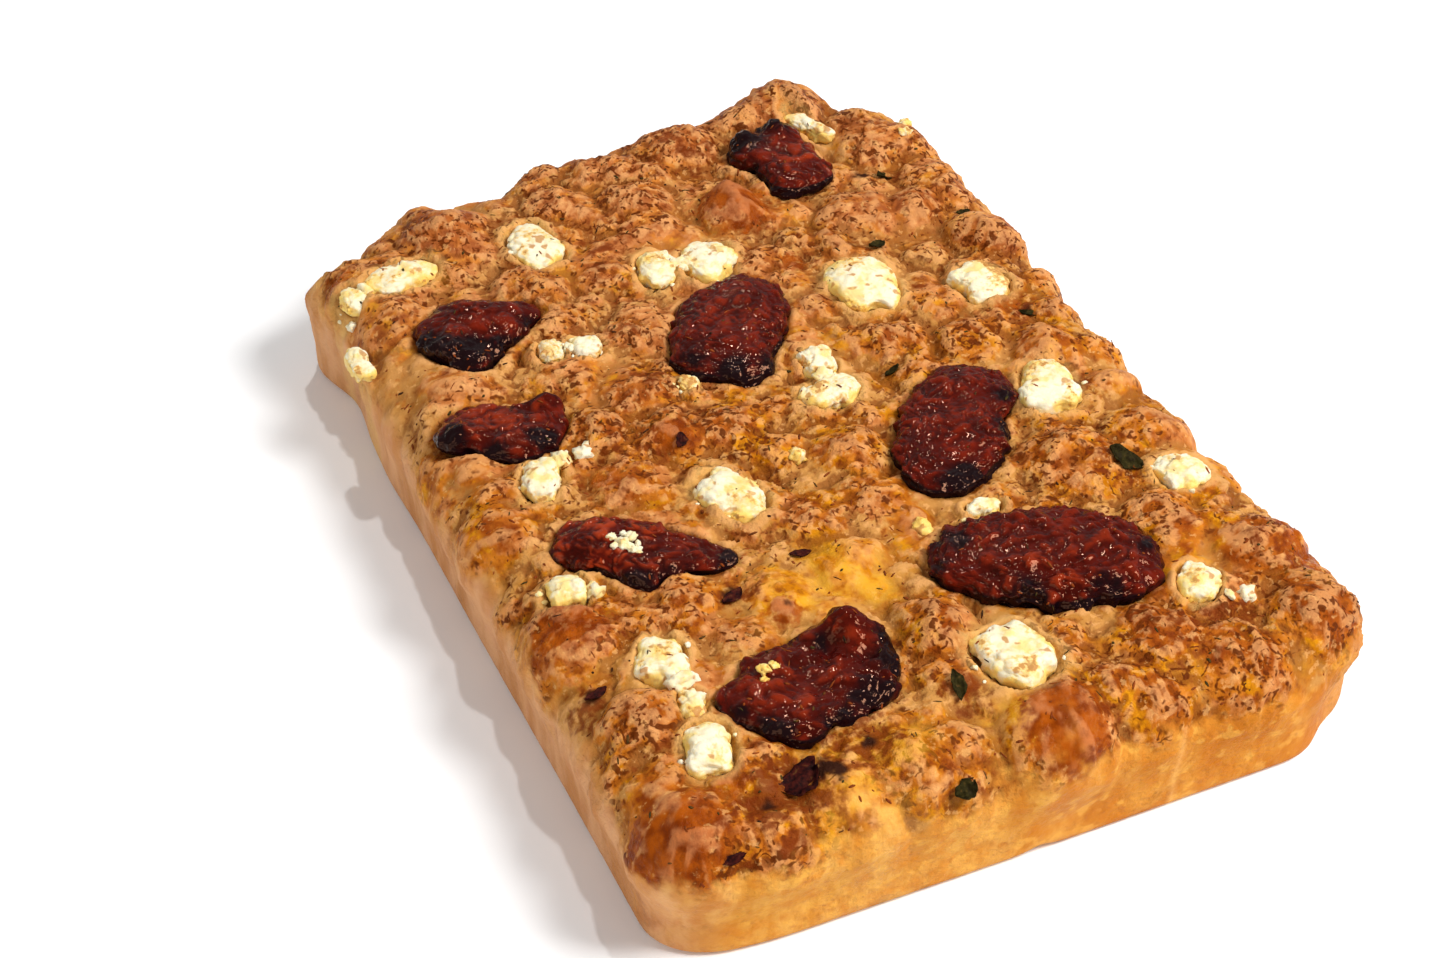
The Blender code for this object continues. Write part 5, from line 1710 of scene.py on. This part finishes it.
# %% Dried herb
HERB_BROWN = ((0.240, 0.046, 0.006), (0.110, 0.018, 0.003))
HERB_GREEN = (0.040, 0.030, 0.006)
HERB_BLACK = (0.026, 0.009, 0.004)
HERB_FLECK = (0.20, 0.056, 0.010)


def dry_herb():
    herb = Finish("dried_herb")
    island = herb.nodes.new("ShaderNodeNewGeometry").outputs["Random Per Island"]
    grain = herb.texture(0.9, detail=2.0)
    colour = herb.blend(island, *HERB_BROWN)
    colour = herb.blend(herb.window(island, 0.70, 0.74), colour, HERB_GREEN)
    colour = herb.blend(herb.window(island, 0.93, 0.95), colour, HERB_BLACK)
    colour = herb.blend(herb.window(grain, 0.45, 0.7, 0.0, 0.5), colour, HERB_FLECK)
    return herb.done(Base_Color=colour, Roughness=herb.window(grain, 0.3, 0.7, 0.6, 0.8),
                     Specular_IOR_Level=0.08)


dried_herb = dry_herb()
show_piece("herb_flecks", herb_mesh, finish=dried_herb)
print("finish:", dried_herb.name)

# %% [markdown]
# ## Burnt leaves
# Fourteen larger bits show one by one: eight curled black-green leaves and six dark red scraps
# of tomato skin, four to eleven millimetres long. Each is a small grid drawn to a ragged
# outline, crumpled, and given a thickness so that it has an edge. A flat picture on the crust
# would be quicker, but a leaf that curls up casts a small shadow, and that is what shows.

# %% Places of the leaves
# x, y, half length, half width and turn in mm and degrees, and 1 for a dark red scrap
BURNT_LEAVES = (
    (68, -58, 5.0, 3.2, -50, 0), (-23, -54, 3.0, 1.3, 0, 1), (-10, -113, 4.0, 1.7, 80, 0),
    (-21, -138, 3.0, 2.4, 20, 0), (-56, -124, 5.4, 4.2, 10, 1), (-88, -78, 3.2, 1.5, 15, 1),
    (74, 90, 4.0, 1.8, 25, 0), (79, 10, 3.6, 1.2, -50, 0), (-34, -4, 2.4, 1.6, 60, 1),
    (-45, -62, 3.2, 1.8, 20, 1), (33, 4, 2.4, 1.4, 10, 0), (55, 57, 2.6, 1.8, 0, 0),
    (86, 62, 2.2, 1.6, 0, 0), (-79, -136, 3.2, 1.2, 0, 1),
)
reds = sum(row[5] for row in BURNT_LEAVES)
print("leaves:", len(BURNT_LEAVES) - reds, "and dark red scraps:", reds)

# %% [markdown]
# ## Laying the leaves
# A leaf bends a little to the slope that it lies on, but it is stiffer than the dough is bumpy,
# so it is turned only part of the way, and a wide one rests a bit higher, on the tops of the
# knobs. All of them become one mesh, with a mark that says which are red.

# %% Large burnt leaves
LEAF_CELLS = 10
LEAF_THICKNESS = 0.25 * MM
LEAF_LIFT = 0.25
LEAF_LIFT_BY_WIDTH = 0.15
LEAF_LEVELNESS = 3.0


def leaf_sheet(half_length, half_width, seed):
    """A flat grid drawn to a leaf's outline, then curled and crumpled."""
    shape = bmesh.new()
    bmesh.ops.create_grid(shape, x_segments=LEAF_CELLS, y_segments=LEAF_CELLS, size=1.0)
    for vertex in shape.verts:
        along, across = vertex.co.x, vertex.co.y
        rim = Vector((along * 2.4, math.copysign(3.0, across), seed * 3.1))
        narrowing = (1.0 - 0.85 * abs(along) ** 2.2) * (1.0 + 0.30 * noise.noise(rim))
        crumple = 0.6 * noise.noise(Vector((along * 2.2, across * 2.2, seed * 3.1)))
        vertex.co = Vector((along * half_length * (1.0 + 0.2 * crumple),
                            across * half_width * narrowing + 0.35 * half_width * along ** 2,
                            half_width * (0.30 * across ** 2 + 0.55 * crumple)))
    bmesh.ops.solidify(shape, geom=list(shape.faces), thickness=LEAF_THICKNESS)
    return shape


def lay_leaves():
    """The mesh of all leaves and scraps, each on its place of the crust."""
    joined = bmesh.new()
    red_marks = []
    for count, (x, y, half_length, half_width, turn, red) in enumerate(BURNT_LEAVES):
        place, way_up = landing(crust_tree, x * MM, y * MM)
        way_up = (LEAF_LEVELNESS * way_up + STRAIGHT_UP).normalized()
        leaf = leaf_sheet(half_length * MM, half_width * MM, count)
        spin = Matrix.Rotation(math.radians(turn), 4, "Z")
        raised = (LEAF_LIFT + LEAF_LIFT_BY_WIDTH * half_width) * MM
        leaf.transform(Matrix.Translation(place + way_up * raised) @ leaning(way_up) @ spin)
        scrap = bpy.data.meshes.new("leaf")
        leaf.to_mesh(scrap)
        red_marks += [red] * len(scrap.vertices)
        leaf.free()
        joined.from_mesh(scrap)
        bpy.data.meshes.remove(scrap)
    mesh = bpy.data.meshes.new("burnt_leaves")
    joined.to_mesh(mesh)
    joined.free()
    keep_mark(mesh, "red", red_marks)
    return mesh


leaf_mesh = lay_leaves()
print("burnt leaves:", len(BURNT_LEAVES), "with", len(leaf_mesh.polygons), "faces")

# %% [markdown]
# ## Finish of the leaves
# Burnt leaf is nearly black, with a little green left in it, and the scraps of tomato skin keep
# some red. Both share one finish that reads the kept mark, instead of two materials on one mesh.
# Paler flecks, strewn by a fine texture, keep so dark a thing from looking like a hole.

# %% Burnt leaf
LEAF_DARK, SCRAP_DARK = (0.010, 0.007, 0.002), (0.012, 0.003, 0.004)
LEAF_GREEN, SCRAP_RED = (0.030, 0.024, 0.006), (0.055, 0.008, 0.006)
LEAF_FLECK = (0.11, 0.050, 0.014)


def burn_leaf():
    leaf = Finish("burnt_leaf")
    grain = leaf.texture(1.4, detail=4.0)
    red = leaf.mark("red")
    dark = leaf.blend(red, LEAF_DARK, SCRAP_DARK)
    mid = leaf.blend(red, LEAF_GREEN, SCRAP_RED)
    colour = leaf.blend(leaf.window(grain, 0.35, 0.65), dark, mid)
    colour = leaf.blend(leaf.window(grain, 0.58, 0.72, 0.0, 0.6), colour, LEAF_FLECK)
    normal = leaf.bump(leaf.texture(0.7, detail=3.0), 0.15)
    return leaf.done(Base_Color=colour, Roughness=leaf.window(grain, 0.3, 0.7, 0.4, 0.6),
                     Normal=normal, Specular_IOR_Level=0.04, Specular_Tint=(1.0, 0.75, 0.45))


burnt_leaf = burn_leaf()
show_piece("burnt_leaves", leaf_mesh, finish=burnt_leaf)
print("finish:", burnt_leaf.name)

# %% [markdown]
# ## Where the cheese crumbs lie
# Crumbs of one to six millimetres lie apart from the lumps, on the crust and on two of the
# tomato halves. The ones that show are listed with their sizes, since a scatter would never put
# them on the same tomatoes, and a few of them are toasted yellow.

# %% Places of the crumbs
# x, y and half size in mm
CRUMBS = (
    (-65, 3.6, 3.0), (-58, 4.2, 2.8), (-8, -19.5, 2.8), (71, -112, 2.6), (9.6, -57, 2.8),
    (-64, -37, 2.2), (-61, -35, 1.6), (-66, -34, 1.3), (-62, -40, 1.5), (-51, -92, 1.7),
    (-48, -91, 1.4), (-52, -95, 1.2), (-83, -49, 2.2), (-76, -48, 2.4), (88, 104, 2.2),
    (91, 110, 2.2), (-94, 90, 1.8), (64, 118, 1.6), (20, -62, 1.5), (66, -112, 1.6),
    (-1.8, 70.5, 3.2), (-2.4, 74.5, 2.2), (13.6, 7.4, 3.0), (16.4, 6.6, 2.0), (-69.8, -84.8, 3.2),
    (-66.4, -84.0, 2.2), (-87.0, 97.4, 2.9), (-45.2, 46.6, 1.7), (-76.4, -46.4, 2.6),
    (-63, -38.5, 1.2), (-60.5, -38, 1.0), (-66.5, -37, 1.1), (-62.5, -33.5, 1.2),
)
TOASTED_CRUMBS = ((-51, -92), (-48, -91), (-52, -95), (88, 104), (91, 110), (-8, -19.5),
                  (9.6, -57))
CRUMB_DUST = 80
CRUMB_DUST_SIZE = (0.35, 0.95)
CRUMB_SEED = 9


def crumb_rows(rng):
    """x, y, half size and fineness of each crumb: the listed ones, then dust by the lumps."""
    rows = [(x, y, size, 2) for x, y, size in CRUMBS]
    lumps = list(CHEESE.values())
    for _count in range(CRUMB_DUST):
        x, y, _level, along, across, _turn, _crown = lumps[rng.integers(len(lumps))]
        angle = rng.uniform(0.0, 2.0 * math.pi)
        far = min(along, across) * rng.uniform(0.95, 1.35)
        size = rng.uniform(*CRUMB_DUST_SIZE)
        rows.append((x + far * math.cos(angle), y + far * math.sin(angle), size, 1))
    return rows


print("crumbs listed:", len(CRUMBS), "and dust of", CRUMB_DUST)

# %% [markdown]
# ## Cheese crumbs
# Each crumb is a ball of few faces, pushed out of round by two sizes of noise and flattened a
# little, because a crumb comes to rest on its broad side. They are joined into one mesh, as the
# herb is, and take the finish of the lumps, with marks that keep most of them white.

# %% Crumbs
CRUMB_FLATNESS = 0.7
LEAST_CRUMB_HEIGHT = 0.8 * BED_HEIGHT
WHITE_CRUMB, YELLOW_CRUMB = 0.9, 0.2


def drop_crumbs():
    """The mesh of all crumbs, each where it lands on the crust or on a tomato half."""
    tree = tree_of([crust_mesh, *tomato_meshes.values()])
    rng = np.random.default_rng(CRUMB_SEED)
    shape = bmesh.new()
    whiteness = []
    for x, y, size, fineness in crumb_rows(rng):
        place, _way_up = landing(tree, x * MM, y * MM)
        if place is None or place.z < LEAST_CRUMB_HEIGHT:
            continue
        made = bmesh.ops.create_icosphere(shape, subdivisions=fineness + 1, radius=1.0)["verts"]
        seed = Vector((x, y, size)) * 1.7
        for vertex in made:
            vertex.co *= 1.0 + 0.60 * noise.noise(vertex.co * 1.5 + seed)
            vertex.co *= 1.0 + 0.30 * noise.noise(vertex.co * 4.0 + seed)
        whiteness += [YELLOW_CRUMB if (x, y) in TOASTED_CRUMBS else WHITE_CRUMB] * len(made)
        slimness = rng.uniform(0.7, 1.0)
        stretch = Matrix.Diagonal((size * MM, size * MM * slimness,
                                   size * MM * CRUMB_FLATNESS, 1.0))
        spin = Matrix.Rotation(rng.uniform(0.0, math.pi), 4, "Z")
        bmesh.ops.transform(shape, matrix=Matrix.Translation(place) @ spin @ stretch, verts=made)
    mesh = bpy.data.meshes.new("cheese_crumbs")
    shape.to_mesh(mesh)
    shape.free()
    keep_mark(mesh, "height", whiteness)
    keep_mark(mesh, "tint", 0.45 - 0.5 * np.array(whiteness))
    return mesh


crumb_mesh = drop_crumbs()
show_piece("cheese_crumbs", crumb_mesh, slot="cheese_white", finish=toasted_cheese)
print("cheese crumbs:", len(crumb_mesh.polygons), "faces")

# %% [markdown]
# ## Floor
# The slab lies on a plain pale floor, so much wider than itself that its end isn't seen. It
# belongs to the stage and not to the food. Its white is clouded very slightly, because no real
# surface is of one colour.

# %% Floor
FLOOR_HALF = 6.0


def pale_floor():
    floor_finish = Finish("pale_floor")
    cloud = floor_finish.texture(400.0, detail=2.0)
    colour = floor_finish.blend(cloud, (0.93, 0.93, 0.93), (0.95, 0.95, 0.95))
    return floor_finish.done(Base_Color=colour, Roughness=0.6)


floor_shape = bmesh.new()
bmesh.ops.create_grid(floor_shape, x_segments=2, y_segments=2, size=FLOOR_HALF)
floor_mesh = bpy.data.meshes.new("floor")
floor_shape.to_mesh(floor_mesh)
floor_shape.free()
floor_mesh.materials.append(pale_floor())
floor = bpy.data.objects.new("floor", floor_mesh)
bpy.context.scene.collection.objects.link(floor)
print("floor of", 2 * FLOOR_HALF, "by", 2 * FLOOR_HALF, "m")

# %% [markdown]
# ## Light
# A wide soft light stands to the right of the front, high up, so the front wall is bright, the
# left wall is a step darker, and each knob shows its form. A weak one from the left keeps that
# wall from going grey, and a small one from behind puts sparks on the oily tomatoes. The pale
# sky round them fills the shadows. A lit room built round the slab would give truer reflections,
# but take far longer to render.

# %% Light
# Place in metres, size in metres and strength in watts of each light
LIGHTS = {
    "key": ((0.9, -0.7, 1.3), 0.66, 35.0),
    "left_fill": ((-1.4, -0.8, 0.7), 1.2, 10.0),
    "spark": ((0.3, 0.9, 1.5), 0.06, 7.0),
}
SKY_STRENGTH = 0.33


def soft_light(name, place, size, energy):
    """A square light that faces the slab."""
    light = bpy.data.lights.new(name, "AREA")
    light.size = size
    light.energy = energy
    lamp = bpy.data.objects.new(name, light)
    bpy.context.scene.collection.objects.link(lamp)
    lamp.location = place
    lamp.rotation_euler = (-Vector(place)).to_track_quat("-Z", "Y").to_euler()


for name, row in LIGHTS.items():
    soft_light(name, *row)

sky = bpy.data.worlds.new("sky")
bpy.context.scene.world = sky
sky.use_nodes = True
background = sky.node_tree.nodes["Background"]
background.inputs["Color"].default_value = (1.0, 1.0, 1.0, 1.0)
background.inputs["Strength"].default_value = SKY_STRENGTH
bpy.context.scene.view_settings.view_transform = "Standard"
print("lights:", list(LIGHTS))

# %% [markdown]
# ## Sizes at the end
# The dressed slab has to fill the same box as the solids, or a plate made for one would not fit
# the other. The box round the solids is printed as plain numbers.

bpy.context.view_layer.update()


def plain(box):
    """A box as plain lists of numbers."""
    return [[float(value) for value in corner] for corner in box]


print("box of the solids:", plain(cad_box))
